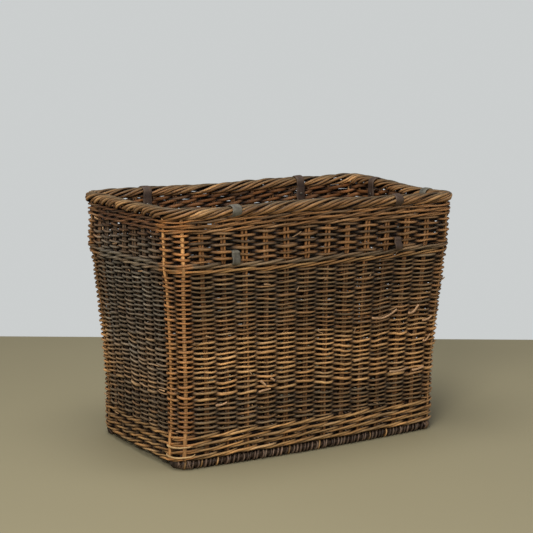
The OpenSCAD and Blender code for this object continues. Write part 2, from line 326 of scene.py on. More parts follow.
def tube_set(rng, path, radius, outward, tint, sides=SIDES, tall=1.0):
    """Closed tapered tubes, one for each row of path: the path plus radius * ring direction.

    A pole closes each end, and tall may change along a rod. The bark attribute is the place
    along the rod and its place in the ring, moved by a random step for each rod, so that a
    pattern on it has no seam.
    """
    rods, points = radius.shape
    ring, tangent = ring_directions(path, outward, sides, tall)
    skin = path[:, :, None] + radius[:, :, None, None] * ring
    reach = radius[:, [0, -1], None] * np.array([-POLE_REACH, POLE_REACH])[:, None]
    poles = path[:, [0, -1]] + reach * tangent[:, [0, -1]]
    verts = np.concatenate([skin.reshape(rods, -1, 3), poles], axis=1)

    angle = 2 * math.pi * np.arange(sides) / sides
    steps = np.linalg.norm(np.diff(path, axis=1), axis=-1)
    length = np.concatenate([np.zeros((rods, 1)), np.cumsum(steps, axis=1)], axis=1)
    bark = np.stack([
        np.broadcast_to(length[:, :, None], (rods, points, sides)),
        radius[:, :, None] * np.cos(angle),
        radius[:, :, None] * np.sin(angle)], axis=-1)
    bark_ends = np.zeros((rods, 2, 3))
    bark_ends[:, 1, 0] = length[:, -1]
    offset = rng.uniform(0, 50, (rods, 1, 3))
    bark = np.concatenate([bark.reshape(rods, -1, 3), bark_ends], axis=1) + offset

    tint = np.broadcast_to(tint, (rods, points, sides, 3))
    cut_tint = np.clip(tint[:, [0, -1]].mean(2) * 1.25, 0, 1)
    tint = np.concatenate([tint.reshape(rods, -1, 3), cut_tint], axis=1)

    quads, triangles = ring_faces(points, sides)
    base = (np.arange(rods) * verts.shape[1])[:, None, None]
    return {"verts": verts.reshape(-1, 3), "quads": (quads + base).reshape(-1, 4),
            "triangles": (triangles + base).reshape(-1, 3),
            "tint": tint.reshape(-1, 3), "bark": bark.reshape(-1, 3)}


def join_sets(sets):
    """Several tube sets as one, with the corners of the faces renumbered."""
    starts = np.cumsum([0] + [len(s["verts"]) for s in sets[:-1]])
    joined = {key: np.concatenate([s[key] for s in sets]) for key in ("verts", "tint", "bark")}
    for key in ("quads", "triangles"):
        joined[key] = np.concatenate([s[key] + start for s, start in zip(sets, starts)])
    return joined


def add_attribute(mesh, name, kind, field, values):
    """Stores a value for each point of a mesh."""
    attribute = mesh.attributes.new(name, kind, "POINT")
    attribute.data.foreach_set(field, values.astype(np.float32).ravel())


def make_mesh(name, parts):
    """A smooth-shaded Blender mesh from arrays of points, quads and triangles."""
    verts, quads, triangles = parts["verts"], parts["quads"], parts["triangles"]
    mesh = bpy.data.meshes.new(name)
    mesh.vertices.add(len(verts))
    mesh.vertices.foreach_set("co", verts.astype(np.float32).ravel())
    corners = np.concatenate([quads.ravel(), triangles.ravel()])
    mesh.loops.add(len(corners))
    mesh.loops.foreach_set("vertex_index", corners.astype(np.int32))
    quad_starts = 4 * np.arange(len(quads))
    triangle_starts = 4 * len(quads) + 3 * np.arange(len(triangles))
    starts = np.concatenate([quad_starts, triangle_starts])
    mesh.polygons.add(len(starts))
    mesh.polygons.foreach_set("loop_start", starts.astype(np.int32))
    mesh.update(calc_edges=True)
    mesh.shade_smooth()
    rgba = np.concatenate([parts["tint"], np.ones((len(verts), 1))], axis=1)
    add_attribute(mesh, "tint", "FLOAT_COLOR", "color", rgba)
    add_attribute(mesh, "bark", "FLOAT_VECTOR", "vector", parts["bark"])
    mesh.validate()
    return mesh


def make_piece(name, parts, material, nodes):
    """Puts a mesh on the basket: it rides on the root body and stands for the named CAD nodes."""
    parts["verts"] = settle(parts["verts"])
    piece = bpy.data.objects.new(name, make_mesh(name, parts))
    bpy.context.scene.collection.objects.link(piece)
    piece.data.materials.append(material)
    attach(piece, "root")
    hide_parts(*nodes)


# Where the rim rises or sags: how far, then the hump's middle and reach along x and along y.
RIM_HUMPS = (
    (0.008, (0.36, 0.24), (0.24, 0.12)),      # the back right corner rises
    (-0.007, (0.42, 0.20), (-0.14, 0.14)),    # the right end sags
    (-0.003, (-0.30, 0.20), (-0.24, 0.15)))   # the front left corner sags
SETTLE_FROM = 0.45     # level where the rim's humps begin
WALE_SAG = 0.0085
WALE_SAG_REACH = 0.43
END_BULGE = 0.010
SHOULDER = 0.53        # level where the left end bulges most


def hump(x, middle, reach):
    """A smooth hump: exp(-((x - middle) / reach)^2)."""
    return np.exp(-((x - middle) / reach) ** 2)


def settle(points):
    """The uneven shape of an old basket, as smooth humps over the wall.

    The rim rises and sags in humps, with the square of how far up a point is. The middle wale
    sags along the front, as a parabola. The back left corner and the right end bulge outwards
    below the rim.
    """
    x, y, z = points[:, 0], points[:, 1], points[:, 2]
    share = np.clip((z - SETTLE_FROM) / (HEIGHT - SETTLE_FROM), 0, 1) ** 2
    rise = sum(size * hump(x, *along) * hump(y, *across) for size, along, across in RIM_HUMPS)
    near_wale = smooth_step(0.28, 0.48, z) * (1 - smooth_step(0.525, 0.60, z))
    on_front = np.clip(1 - (x / WALE_SAG_REACH) ** 2, 0, 1) * smooth_step(0.08, 0.18, -y)
    bulge = END_BULGE * smooth_step(0.16, 0.46, z) * (1 - smooth_step(0.54, 0.64, z))
    back_left = smooth_step(-0.16, 0.12, y) * smooth_step(0.15, 0.40, -x)
    left_out = (1 + 0.6 * hump(z, SHOULDER, 0.03)) * back_left
    right_out = smooth_step(0.15, 0.40, x)
    moved = points.copy()
    moved[:, 0] = x + bulge * (right_out - left_out)
    moved[:, 2] = z + share * rise - WALE_SAG * near_wale * on_front
    return moved


# ---- colours of the rods ----

def srgb(red, green, blue):
    """A colour given as it looks on a screen, 0 to 255, turned into the linear values of light."""
    c = np.array([red, green, blue]) / 255
    return np.where(c <= 0.04045, c / 12.92, ((c + 0.055) / 1.055) ** 2.4)


DARK_BARK = srgb(129, 103, 71)
BROWN_BARK = srgb(140, 103, 66)
LIGHT_BARK = srgb(190, 147, 96)
ORANGE_BARK = srgb(182, 121, 66)
PALE_BARK = srgb(190, 149, 99)
GREY_BARK = srgb(98, 90, 78)
MOSS_GREY = srgb(93, 88, 66)
FOOT_BARK = srgb(114, 92, 76)
STICK_BARK = srgb(64, 48, 36)
OPEN_BARK = srgb(126, 94, 61)
UPSETT_BARK = srgb(176, 136, 87)
# GAP_SHADE: nearly black, the painted shade and dirt deep in the gaps between rods
GAP_SHADE = np.array([0.034, 0.018, 0.010])
INSIDE_SHADE = np.array([0.74, 0.60, 0.50])
TOP_OF_END_SHADE = np.array([0.56, 0.46, 0.41])

# How much paler or darker the weave is at each station: four pairs of the front are paler.
COLUMN_TONE = np.random.default_rng(11).normal(0, 0.10, STATIONS)
COLUMN_TONE[[1, 3, 7, 11]] = (0.26, 0.14, 0.06, 0.14)


def rod_tones(rng, count, spread):
    """One brightness for each rod, spread evenly on both sides of 1 as a power."""
    return np.exp(rng.normal(0, spread, count))


def left_end(u):
    """1 on the left end, which has gone grey, and 0 on the other walls."""
    turn = np.mod(u, STATIONS)
    first, last = wall_stations(3)[[0, -1]]
    return smooth_step(first - 0.4, first + 0.4, turn) * (1 - smooth_step(last + 0.3, last + 1.0, turn))


def near_posts(u):
    """1 at a post of the front left corner and less at the others, falling to 0 between."""
    turn = np.mod(u, STATIONS)
    posts = np.flatnonzero(IS_POST)
    gap = np.abs(turn[..., None] - posts)
    strength = np.where(posts > FRONT_LEFT_POSTS - 1, 1.0, 0.3)
    return ((1 - smooth_step(0.25, 0.5, gap)) * strength).max(-1)


def column_tone(u):
    """Brightness that goes with the stakes, smooth between two stations."""
    before, after, share = neighbours(u)
    return np.exp(blend(COLUMN_TONE[before], COLUMN_TONE[after], smooth_step(0, 1, share)))


def stain(u, z):
    """Broad cloudy stains from -1 to 1: the product of two slow waves over the wall."""
    return np.sin(1.3 * u + 9 * z + 0.5) * np.cos(0.7 * u - 23 * z)


def facing():
    """How much each side of a rod faces out of the wall, from 1 through 0 to -1."""
    return np.cos(2 * math.pi * np.arange(SIDES) / SIDES)


def dirt_and_painted_shade(colour, exposure):
    """Dirt of many years and painted shade in the gaps between rods: the colour where the exposure is 1,
    and nearly black where it is 0.
    """
    shade = blend(GAP_SHADE, np.ones(3), exposure[..., None])
    return np.clip(colour * shade, 0, 1)


RUST = 0.25   # how orange the most orange weavers are


def weave_tint(rng, u, z, swing, colour, spread):
    """Colours of weavers, for each side of each ring.

    The band's colour drifts to grey on the left end and to orange at the posts and on some rods.
    Only the side that bulges out of the weave keeps its full colour: exposure rises with swing * facing,
    and elsewhere dirt and painted shade darken it. The sides that face into the basket get painted shade.
    """
    rods = u.shape[0]
    kind = rng.uniform(0, 1, (rods, 1, 1))
    base = blend(colour, ORANGE_BARK, RUST * smooth_step(0.3, 1.0, kind))
    base = blend(base, GREY_BARK, 0.35 * smooth_step(0.75, 1.0, 1 - kind))
    grey = left_end(u) * smooth_step(0.05, 0.32, z) * (1 - 0.90 * smooth_step(0.555, 0.60, z))
    grey = grey * (0.78 + 0.30 * stain(u, z))
    base = blend(base, GREY_BARK * 1.60, np.clip(grey, 0, 0.95)[..., None])
    top_of_end = left_end(u) * smooth_step(0.54, 0.58, z)
    base = base * blend(1.0, TOP_OF_END_SHADE, top_of_end[..., None])
    base = blend(base, ORANGE_BARK * 1.12, (0.60 * near_posts(u))[..., None])
    tone = rod_tones(rng, rods, spread)[:, None] * column_tone(u) * (1 + 0.10 * stain(u, z))
    # Painted shade and dirt on the sides tucked behind stakes and rows, and painted shade on the sides
    # facing into the basket
    exposure = smooth_step(-0.10, 0.85, swing[..., None] * facing())
    inside = blend(1.0, INSIDE_SHADE, smooth_step(0.1, 0.8, -facing())[:, None])
    return dirt_and_painted_shade((base * tone[..., None])[:, :, None, :] * inside, exposure)


# ---- randing ----

SAMPLES_PER_STATION = 6
PLACES_PER_STATION = 4
FIRST_ROD_SPAN = 24
ROD_OVERLAP = 0.42
ROD_SPREAD = 0.09      # how much rods differ in thickness
TALL_INSIDE = 1.60     # weavers are pressed flat against the stakes inside
TALL_OUTSIDE = 0.90
WEAVER_SWAY = 0.0010   # how far a weaver strays up and down
TUCK = 0.0035          # how far a weaver's ends are pushed in
TUCK_REACH = 0.6       # and over how many stations


def station_swing(u):
    """How far a weaver stands off at a place: more at the posts, which are thicker."""
    radius = np.where(IS_POST, POST_RADIUS, STAKE_RADIUS)
    before, after, share = neighbours(u)
    return blend(radius[before], radius[after], share)


POST_PINCH = 0.5


def pinched(u):
    """Station count moved so that weavers cross nearer to a post than to the pair beside it.

    Between a post and a pair, the share t of the way becomes t + pinch * t * (1 - t).
    """
    before, after, share = neighbours(u)
    sense = IS_POST[before].astype(float) - IS_POST[after].astype(float)
    return u + POST_PINCH * sense * share * (1 - share)


class Rows:
    """Rows of plain weave that rest on each other, two long tapered rods to a row.

    At every place round the wall the rows' thicknesses are added up, and the pile is scaled to
    fill its band. Thicknesses drift a little along each row, so that the rows rise and fall.
    """

    def __init__(self, seed, low, high, butts, tips, wave):
        rng = np.random.default_rng(seed)
        self.count = len(butts)
        self.butts = butts
        self.tips = tips
        row = np.arange(self.count)
        self.start = 2 * rng.integers(0, STATIONS // 2, self.count) + (row + 1) % 2
        self.factor = np.exp(rng.normal(0, ROD_SPREAD, (self.count, 2)))
        self.places = STATIONS * PLACES_PER_STATION + 1
        grid = np.linspace(0, STATIONS, self.places)
        distance = np.mod(grid[None] - self.start[:, None], STATIONS)
        second = distance >= FIRST_ROD_SPAN
        rest = STATIONS - FIRST_ROD_SPAN
        share = np.where(second, (distance - FIRST_ROD_SPAN) / rest, distance / FIRST_ROD_SPAN)
        size = np.where(second, self.factor[:, 1:], self.factor[:, :1])
        drift = Drift(rng, 14, 11, 0.22).at(grid[None], row[:, None])
        thickness = blend(butts[:, None], tips[:, None], share) * size * (1 + wave * drift)
        thickness[:, -1] = thickness[:, 0]
        pile = np.cumsum(thickness, axis=0)
        self.levels = low + (high - low) * (pile - thickness / 2) / pile[-1]

    def level(self, row, u):
        """Level of a row at station count u."""
        place = np.mod(u, STATIONS) * PLACES_PER_STATION
        index = np.minimum(place.astype(int), self.places - 2)
        return blend(self.levels[row, index], self.levels[row, index + 1], place - index)


def height_share(swing, inside):
    """How tall a rod's section is for its width: TALL_OUTSIDE in front, and flatter inside."""
    return blend(inside, TALL_OUTSIDE, smooth_step(-0.3, 0.7, swing))


def randing(seed, rows, first, last, colour, pale_rows=0, inside=TALL_INSIDE):
    """Plain weave of some of the rows: each rod goes in front of a stake and behind the next.

    The swing out of the wall is plateau(cos(pi * (u + row))), so that neighbouring rows cross
    between the stakes. Each rod starts and ends inside, behind a stake. The first rows may be
    paler, where thick butts were laid in.
    """
    rng = np.random.default_rng(seed)
    rod_row = np.repeat(np.arange(first, last), 2)[:, None]
    second = np.tile([0, 1], last - first)[:, None]
    span = np.where(second == 1, STATIONS - FIRST_ROD_SPAN, FIRST_ROD_SPAN)
    q = np.linspace(0, 1, FIRST_ROD_SPAN * SAMPLES_PER_STATION + 1)[None]
    begin = rows.start[rod_row] + second * FIRST_ROD_SPAN - ROD_OVERLAP
    length = span + 2 * ROD_OVERLAP
    u = begin + length * q
    z = rows.level(rod_row, u)
    radius = blend(rows.butts[rod_row], rows.tips[rod_row], q) / 2 * rows.factor[rod_row, second]
    radius = radius * (1 + 0.08 * Drift(rng, 12, 60, 2.0).at(u, rod_row))
    swing = plateau(np.cos(math.pi * (pinched(u) + rod_row)))
    jitter = Drift(rng, 16, 40, 2.3).at(u, rod_row)
    sway = Drift(rng, 16, 52, 1.9).at(u, rod_row)
    stroke = np.exp(0.15 * Drift(rng, 24, 34, 2.7).at(u, rod_row))
    out = swing * (station_swing(u) + radius * (1 + 0.10 * jitter))
    near_end = 1 - smooth_step(0, TUCK_REACH, np.minimum(q, 1 - q) * length)
    out = out - near_end * TUCK
    z = z + WEAVER_SWAY * sway + near_end * np.where(q < 0.5, 0.0012, -0.0012)
    path, normal = on_wall(u, z, out)
    pale = 0.6 * (rod_row < first + pale_rows)[..., None]
    tint = weave_tint(rng, u, z, swing, blend(colour, PALE_BARK, pale), 0.12)
    tint = np.clip(tint * stroke[:, :, None, None], 0, 1)
    return tube_set(rng, path, radius, normal, tint, tall=height_share(swing, inside))


# ---- waling ----

WALE_STATIONS = STATIONS - 4
WALE_OVERLAP = 0.4
ROUND_LAG = 0.35   # how far each round of a wale starts behind the one below it


def wale_places():
    """Station count of each place of a wale, which passes the two posts of a corner as one."""
    posts = np.flatnonzero(IS_POST).reshape(-1, 2)
    pairs = [float(i) for i in range(STATIONS) if not IS_POST[i]]
    return np.array(sorted(pairs + list(posts.mean(1))))


def on_end(u):
    """1 on the two ends and 0 on the long sides, smooth round the corners."""
    turn = np.mod(u, STATIONS / 2)
    first, last = LONG_PAIRS - 0.5, STATIONS / 2 - 0.5
    return smooth_step(first, first + 2, turn) * (1 - smooth_step(last - 2, last, turn))


def waling(seed, band, rounds, radius, rise, colour, grey_round=None, sink=0.0):
    """Three-rod waling: each rod passes in front of two stakes and behind one, then repeats.

    With p the place in the repeat of three, the rod is in front for p from -0.5 to 1.5. There it
    climbs from below the rod before it to above it, and comes a little further out. It dives
    behind for the rest. On the ends the band reaches lower by the sink.
    """
    rng = np.random.default_rng(seed)
    low, high = band
    height = (high - low) / rounds
    places = np.append(wale_places(), wale_places()[0] + STATIONS)
    points = WALE_STATIONS * 8 + 1
    w = np.linspace(0, WALE_STATIONS + WALE_OVERLAP, points)
    strand = np.arange(3 * rounds)
    lap = strand // 3
    begin = rng.integers(0, WALE_STATIONS // 3, rounds)[lap] * 3 + strand % 3 + 2.0
    w = w[None] + begin[:, None]
    turn = np.mod(w, WALE_STATIONS)
    u = np.interp(turn, np.arange(WALE_STATIONS + 1), places)
    p = np.mod(w - (strand % 3)[:, None] - ROUND_LAG * lap[:, None] + 0.5, 3) - 0.5
    in_front = p < 1.5
    in_front_swing = np.cos(math.pi / 2 * np.clip(np.abs(p - 0.5) - 0.30, 0, 1) / 0.80)
    behind_swing = -np.sin(math.pi / 2 * (1 - 2 * np.abs(p - 2.0)))
    swing = np.where(in_front, in_front_swing, behind_swing)
    climb = np.where(in_front, p - 0.5, (2.0 - p) / 0.5)
    sizes = radius * np.exp(rng.normal(0, 0.07, (len(strand), 1)))
    size = sizes * (1 + 0.06 * Drift(rng, 10, 50, 2.0).at(u, strand[:, None]))
    size = size * blend(1.10, 0.88, np.mod(w / WALE_STATIONS + rng.uniform(0, 1, (len(strand), 1)), 1))
    middle = low + height * (lap + 0.5)
    z = middle[:, None] + rise * climb + 0.0010 * Drift(rng, 12, 18, 0.3).at(u, lap[:, None])
    z = z + 0.0009 * Drift(rng, 14, 45, 1.7).at(u, strand[:, None])
    z = z - sink * on_end(u) * (high - z) / (high - low)
    over = np.where(in_front, 0.0022 * (p - 0.5), 0)
    out = swing * (station_swing(u) + size) + over
    path, normal = on_wall(u, z, out)
    stroke_tone = np.exp(0.22 * Drift(rng, 20, 16, 2.9).at(u, strand[:, None]))
    # Painted shade where a stroke comes out from under the rod before it
    shade_where_emerging = blend(0.45, 1.0, smooth_step(-0.45, 0.35, p))
    base = blend(colour, GREY_BARK, np.where(lap == grey_round, 0.55, 0.0)[:, None, None])
    tint = weave_tint(rng, u, z, swing, base, 0.14)
    tint = tint * np.where(in_front, stroke_tone * shade_where_emerging, 1.0)[:, :, None, None]
    return tube_set(rng, path, size, normal, np.clip(tint, 0, 1), tall=height_share(swing, 1.5))


# ---- stakes, posts and border ----

STAKE_FOOT = 0.026
STAKE_SAMPLES = 60
# Painted shade on the uprights where the weave covers them
CLOSED_SHADE = 0.36   # brightness of an upright where the weave covers it
OPEN_EDGE = 0.004


def open_zone(z):
    """1 where the weave is open and shows the uprights, and 0 where it is closed."""
    above = smooth_step(OPEN[0] - OPEN_EDGE, OPEN[0] + OPEN_EDGE, z)
    below = 1 - smooth_step(OPEN[1] - OPEN_EDGE, OPEN[1] + OPEN_EDGE, z)
    return above * below


def upright_rods(seed, stations, shifts, radius, head, tint, wander,
                 shade=CLOSED_SHADE, forward=0.0, over_wales=0.0):
    """Rods that stand in the wall at given stations, shifted along it, with a little wander.

    Where the weave is open they may stand forward by twice what they do elsewhere, and at the
    upsett and the middle wale they may lie over the rods.
    """
    rng = np.random.default_rng(seed)
    z = np.linspace(STAKE_FOOT, head, STAKE_SAMPLES)[None] + np.zeros((len(stations), 1))
    phase = rng.uniform(0, 2 * math.pi, (2, len(stations), 1))
    turns = rng.uniform(1, 3, (2, len(stations), 1))
    share = (z - STAKE_FOOT) / (head - STAKE_FOOT)
    sway = wander * np.sin(2 * math.pi * turns[0] * share + phase[0])
    depth = 0.4 * wander * np.sin(2 * math.pi * turns[1] * share + phase[1])
    at_foot = 1 - smooth_step(UPSETT[1] - 0.010, UPSETT[1] + 0.010, z)
    at_middle_wale = hump(z, MIDDLE_WALE[0] + 0.012, 0.022)
    depth = depth + forward * (1 + open_zone(z)) + over_wales * (at_foot + at_middle_wale)
    u = np.asarray(stations)[:, None] + 0 * z
    point, normal = wall_frame(u, z)
    along = np.stack([-normal[..., 1], normal[..., 0], normal[..., 2]], -1)
    shift = shifts * blend(0.80, 1.0, open_zone(z))
    path = point + (shift + sway)[..., None] * along + depth[..., None] * normal
    thick = radius * np.exp(rng.normal(0, 0.05, (len(stations), 1))) * blend(1.03, 0.92, share)
    tone = rod_tones(rng, len(stations), 0.16)[:, None, None, None]
    grey = 0.7 * left_end(u)[..., None, None]
    colour = blend(tint * tone, GREY_BARK * 0.8, grey)
    # Painted shade: an upright is darker where the weave covers it, and darker still on its flanks
    shown = shade * np.exp(rng.normal(0, 0.45, (len(stations), 1)))
    unshaded = np.clip(blend(shown, 1.0, open_zone(z)), 0, 1)[..., None]
    exposure = unshaded * smooth_step(0.0, 0.85, np.abs(facing()))
    return tube_set(rng, path, thick, normal, dirt_and_painted_shade(colour, exposure))


def stake_wall(seed, wall, side):
    """The left rod, side -1, or the right rod, side 1, of every pair on a wall."""
    rng = np.random.default_rng(900 + wall)
    stations = wall_stations(wall)
    spacing = PAIR_SPACING * rng.uniform(0.80, 1.05, len(stations))
    shifts = side * spacing[:, None] / 2
    tint = blend(BROWN_BARK, ORANGE_BARK, 0.5)
    return upright_rods(seed, stations, shifts, STAKE_RADIUS * 1.08, TOP_WALE[1], tint,
                        wander=0.0010, forward=0.0004)


def corner_posts(seed, corner):
    """The two posts of a corner, numbered from the front right one round to the front left one.

    The front left ones are bare and pale, and lie over the wales.
    """
    stations = np.flatnonzero(IS_POST).reshape(-1, 2)[corner]
    front_left = corner == 3
    tint = blend(ORANGE_BARK, PALE_BARK, 0.6) * (1.45 if front_left else 0.8)
    return upright_rods(seed, stations, np.zeros((2, 1)), POST_RADIUS, TOP_WALE[1] + 0.004, tint,
                        wander=0.0015, shade=1.0, forward=0.0022, over_wales=0.0052 if front_left else 0.0)


BORDER_TURN = 4.0    # stations that a border rod takes to wind round once
BORDER_TAIL = 1.3
BORDER_POINTS = 66
BORDER_ROD = 0.0041
BORDER_OUT = 0.0128
BORDER_UP = 0.0112
BORDER_SIDES = 10


def border_rods(seed):
    """The rolled border: from each station two rods climb over the outside and wind round once.

    The path is an ellipse in the section of the border, turned once in four stations, and then a
    short tail that sinks into the middle. The second rod of a pair is a little thinner and lies a
    little lower, so that dark grooves part the rods.
    """
    rng = np.random.default_rng(seed)
    station = np.repeat(np.arange(STATIONS), 2)
    member = np.tile([-0.5, 0.5], STATIONS)[:, None]
    q = np.linspace(0, 1, BORDER_POINTS)[None]
    run = (BORDER_TURN + BORDER_TAIL) * q
    pair = np.repeat(rng.normal(0, 1, (STATIONS, 4)), 2, axis=0)[:, :, None]
    own = rng.normal(0, 1, (2 * STATIONS, 4))[:, :, None]
    u = station[:, None] + run + 0.10 * member + 0.07 * pair[:, 0]
    phase = -math.pi / 2 + 2 * math.pi * run / BORDER_TURN + 0.22 * np.sin(2 * math.pi * run / BORDER_TURN)
    phase = phase + 0.84 * member + 0.10 * pair[:, 1] + 0.08 * own[:, 0]
    shrink = blend(1.0, 0.35, smooth_step(BORDER_TURN - 0.3, BORDER_TURN + 0.9, run))
    grow = smooth_step(-0.1, 0.7, run)
    under = blend(1.02, 0.96, member + 0.5)
    size = (under + 0.05 * pair[:, 2] + 0.03 * own[:, 1]) * shrink
    middle = (BORDER[0] + BORDER[1]) / 2 - 0.001
    drift = Drift(rng, 10, 9, 0.0)
    rolling = Drift(rng, 10, 12, 0.0)
    z = middle + BORDER_UP * size * np.sin(phase) + 0.0014 * drift.at(u, 0)
    out = BORDER_OUT * size * np.cos(phase) * grow + 0.0020 * rolling.at(u, 0)
    radius = BORDER_ROD * blend(1.08, 0.84, q) * np.exp(0.09 * own[:, 2]) * blend(1.04, 0.95, member + 0.5)
    radius = radius * (1 + 0.05 * Drift(rng, 8, 70, 2.0).at(u, station[:, None]))
    path, normal = on_wall(u, z, out)
    tone = 0.92 * np.exp(0.14 * pair[:, 3] + 0.20 * own[:, 3])
    share = rng.uniform(0, 1, (2 * STATIONS, 1, 1))
    base = blend(blend(BROWN_BARK * 0.7, LIGHT_BARK * 0.85, share), ORANGE_BARK * 0.8, 0.3)
    pale_end = smooth_step(0.6, 1.3, run) * (1 - smooth_step(1.5, 2.1, run)) * (pair[:, 3] > 0.2)
    base = blend(base, PALE_BARK, 0.5 * pale_end[..., None])
    tint = weathered_and_shaded(path, normal, base * tone[..., None], phase)
    return tube_set(rng, path, radius, normal, tint, sides=BORDER_SIDES)


def weathered_and_shaded(path, normal, tint, phase):
    """Grey green where a rod of the border faces up, and painted shade on the sides that touch others.

    A side of the ring is exposed when it points away from the middle of the border.
    """
    ring = ring_directions(path, normal, BORDER_SIDES)[0]
    rise = ring[..., 2]
    reach = (ring * normal[:, :, None]).sum(-1)
    away = reach * np.cos(phase)[:, :, None] + rise * np.sin(phase)[:, :, None]
    grey = smooth_step(0.25, 0.90, rise) * smooth_step(-0.1, 0.7, np.sin(phase)[:, :, None])
    colour = blend(tint[:, :, None, :], MOSS_GREY * 0.56, 0.80 * grey[..., None])
    return dirt_and_painted_shade(colour, smooth_step(0.15, 0.95, away))


# ---- the base ----

PASS_PITCH = 0.0057
PASS_POINTS = 42
BASE_ROD = 0.0030
BASE_STICK = 0.0062
EDGE_STICK = 0.0078
BASE_MIDDLE = BASE_TOP / 2
INNER_STICKS = 5
BASE_END_MARGIN = 0.001
FOOT_REACH = 0.002
MOST_TURNED_IN = 0.030


def base_edge(x):
    """Distance from the centre line to the middle of an edge stick.

    It follows the wall's bow, and at the corners it turns in along a circle.
    """
    reach = half_length(0) - CORNER_RADIUS
    f = np.clip(np.abs(x) / reach, 0, 1)
    straight = half_width(0) + bow(0) * (1 - f * f)
    past = np.maximum(np.abs(x) - reach, 0)
    turned_in = CORNER_RADIUS - np.sqrt(np.maximum(CORNER_RADIUS ** 2 - past ** 2, 0))
    return straight - EDGE_STICK + FOOT_REACH - np.minimum(turned_in, MOST_TURNED_IN)


def base_passes(seed):
    """Weavers that run to and fro over and under the sticks and loop round the edge sticks.

    A pass swings over one stick and under the next, as cos(pi * k) at stick k, and at an edge
    stick it goes half round: the loop is a half circle in the upright plane of the pass.
    """
    rng = np.random.default_rng(seed)
    reach = half_length(0) - BASE_END_MARGIN
    count = int(2 * reach / PASS_PITCH)
    x = -reach + (np.arange(count) + 0.5) * 2 * reach / count
    sign = np.where(np.arange(count) % 2 == 0, 1, -1)
    k = np.linspace(0, INNER_STICKS + 1, PASS_POINTS)
    edge = base_edge(x)[:, None]
    y_flat = edge * (2 * k / (INNER_STICKS + 1) - 1)
    lift = plateau(np.cos(math.pi * k), 1.2)[None] * sign[:, None]
    stick = blend(EDGE_STICK, BASE_STICK, smooth_step(0, 0.6, np.minimum(k, INNER_STICKS + 1 - k)))
    z_flat = BASE_MIDDLE + lift * (stick + BASE_ROD - 0.001)
    half_turn = np.linspace(0, math.pi, 12)[1:-1]
    loop_radius = EDGE_STICK + BASE_ROD
    sets = []
    wobble = rng.normal(0, 1, (count, 3))
    for side in (-1, 1):
        index = np.arange(1 if side < 0 else 0, count - 1, 2)
        first_sign = sign[index][:, None]
        turn = half_turn[None] + 0 * index[:, None]
        loop_x = blend(x[index][:, None], x[index + 1][:, None], (1 - np.cos(turn)) / 2)
        loop_x = loop_x + (0.0030 * wobble[index, :1] - 0.003) * np.sin(turn)
        loop_edge = base_edge(loop_x)
        bulge = 1 + 0.10 * wobble[index, 1:2]
        loop_y = side * (loop_edge + loop_radius * np.sin(turn) * bulge)
        loop_z = BASE_MIDDLE + first_sign * np.cos(turn) * (loop_radius - 0.001)
        loop = np.stack([loop_x, loop_y, loop_z], -1)
        before = side_points(x, y_flat, z_flat, index, side, inwards=True)
        after = side_points(x, y_flat, z_flat, index + 1, side, inwards=False)
        path = np.concatenate([before, loop, after], axis=1)
        sets.append(foot_tubes(rng, path))
    sets.append(foot_tubes(rng, corner_loops(rng)))
    return join_sets(sets)


CORNER_LOOPS = 12


def corner_loops(rng):
    """Paths of the loops that follow the edge stick round the four corners of the base.

    In the upright plane through the corner's centre a loop runs straight out above the stick,
    half round it, and straight in below.
    """
    angle = np.radians(np.linspace(14, 92, CORNER_LOOPS))
    sides = np.array([(-1, -1), (1, -1), (1, 1), (-1, 1)])
    sign = np.repeat(sides, CORNER_LOOPS, axis=0)[:, None]
    count = len(sign)
    turned = (np.tile(angle, 4) + rng.normal(0, 0.03, count))[:, None]
    turn = np.linspace(0, math.pi, 12)[None]
    loop_radius = (EDGE_STICK + BASE_ROD) * (1 + rng.normal(0, 0.06, (count, 1)))
    straight = np.full((count, 1), -0.016)
    reach = np.concatenate([straight, loop_radius * np.sin(turn), straight], axis=1)
    level = np.concatenate([0.9 * loop_radius, loop_radius * np.cos(turn), -0.9 * loop_radius], axis=1)
    away = CORNER_RADIUS - EDGE_STICK + FOOT_REACH + reach
    lean_over = turned + rng.normal(0, 0.10, (count, 1)) * level / EDGE_STICK
    x = half_length(0) - CORNER_RADIUS + away * np.sin(lean_over)
    y = half_width(0) - CORNER_RADIUS + away * np.cos(lean_over)
    return np.stack([sign[..., 0] * x, sign[..., 1] * y, BASE_MIDDLE + level], -1)


def side_points(x, y_flat, z_flat, index, side, inwards):
    """The half of each pass that belongs to one edge, from the middle out or the other way."""
    half = y_flat.shape[1] // 2
    columns = np.arange(half) if side < 0 else np.arange(y_flat.shape[1] - 1, half - 1, -1)
    columns = columns[1:]
    if inwards:
        columns = columns[::-1]
    shape = (len(index), len(columns))
    y = y_flat[index][:, columns]
    z = z_flat[index][:, columns]
    return np.stack([np.broadcast_to(x[index][:, None], shape), y, z], -1)


def foot_tubes(rng, path):
    """Tubes of the base weave, purple brown with a few paler rods, above the floor throughout."""
    rods, points = path.shape[:2]
    radius = BASE_ROD * np.exp(rng.normal(-0.06, 0.12, (rods, 1))) * np.ones((1, points))
    path[..., 2] = np.maximum(path[..., 2], radius)
    outward = np.broadcast_to(np.array([1.0, 0.0, 0.0]), path.shape)
    pale = (rng.uniform(0, 1, (rods, 1)) < 0.13)[..., None]
    tone = rod_tones(rng, rods, 0.32)[:, None, None]
    tint = np.where(pale, LIGHT_BARK, FOOT_BARK) * tone * np.ones((1, points, 1))
    # Painted shade on the sides of a pass that press against its neighbours
    exposure = 1 - smooth_step(0.30, 1.0, np.abs(facing())) * np.ones((rods, points, 1))
    return tube_set(rng, path, radius, outward, dirt_and_painted_shade(tint[:, :, None, :], exposure))


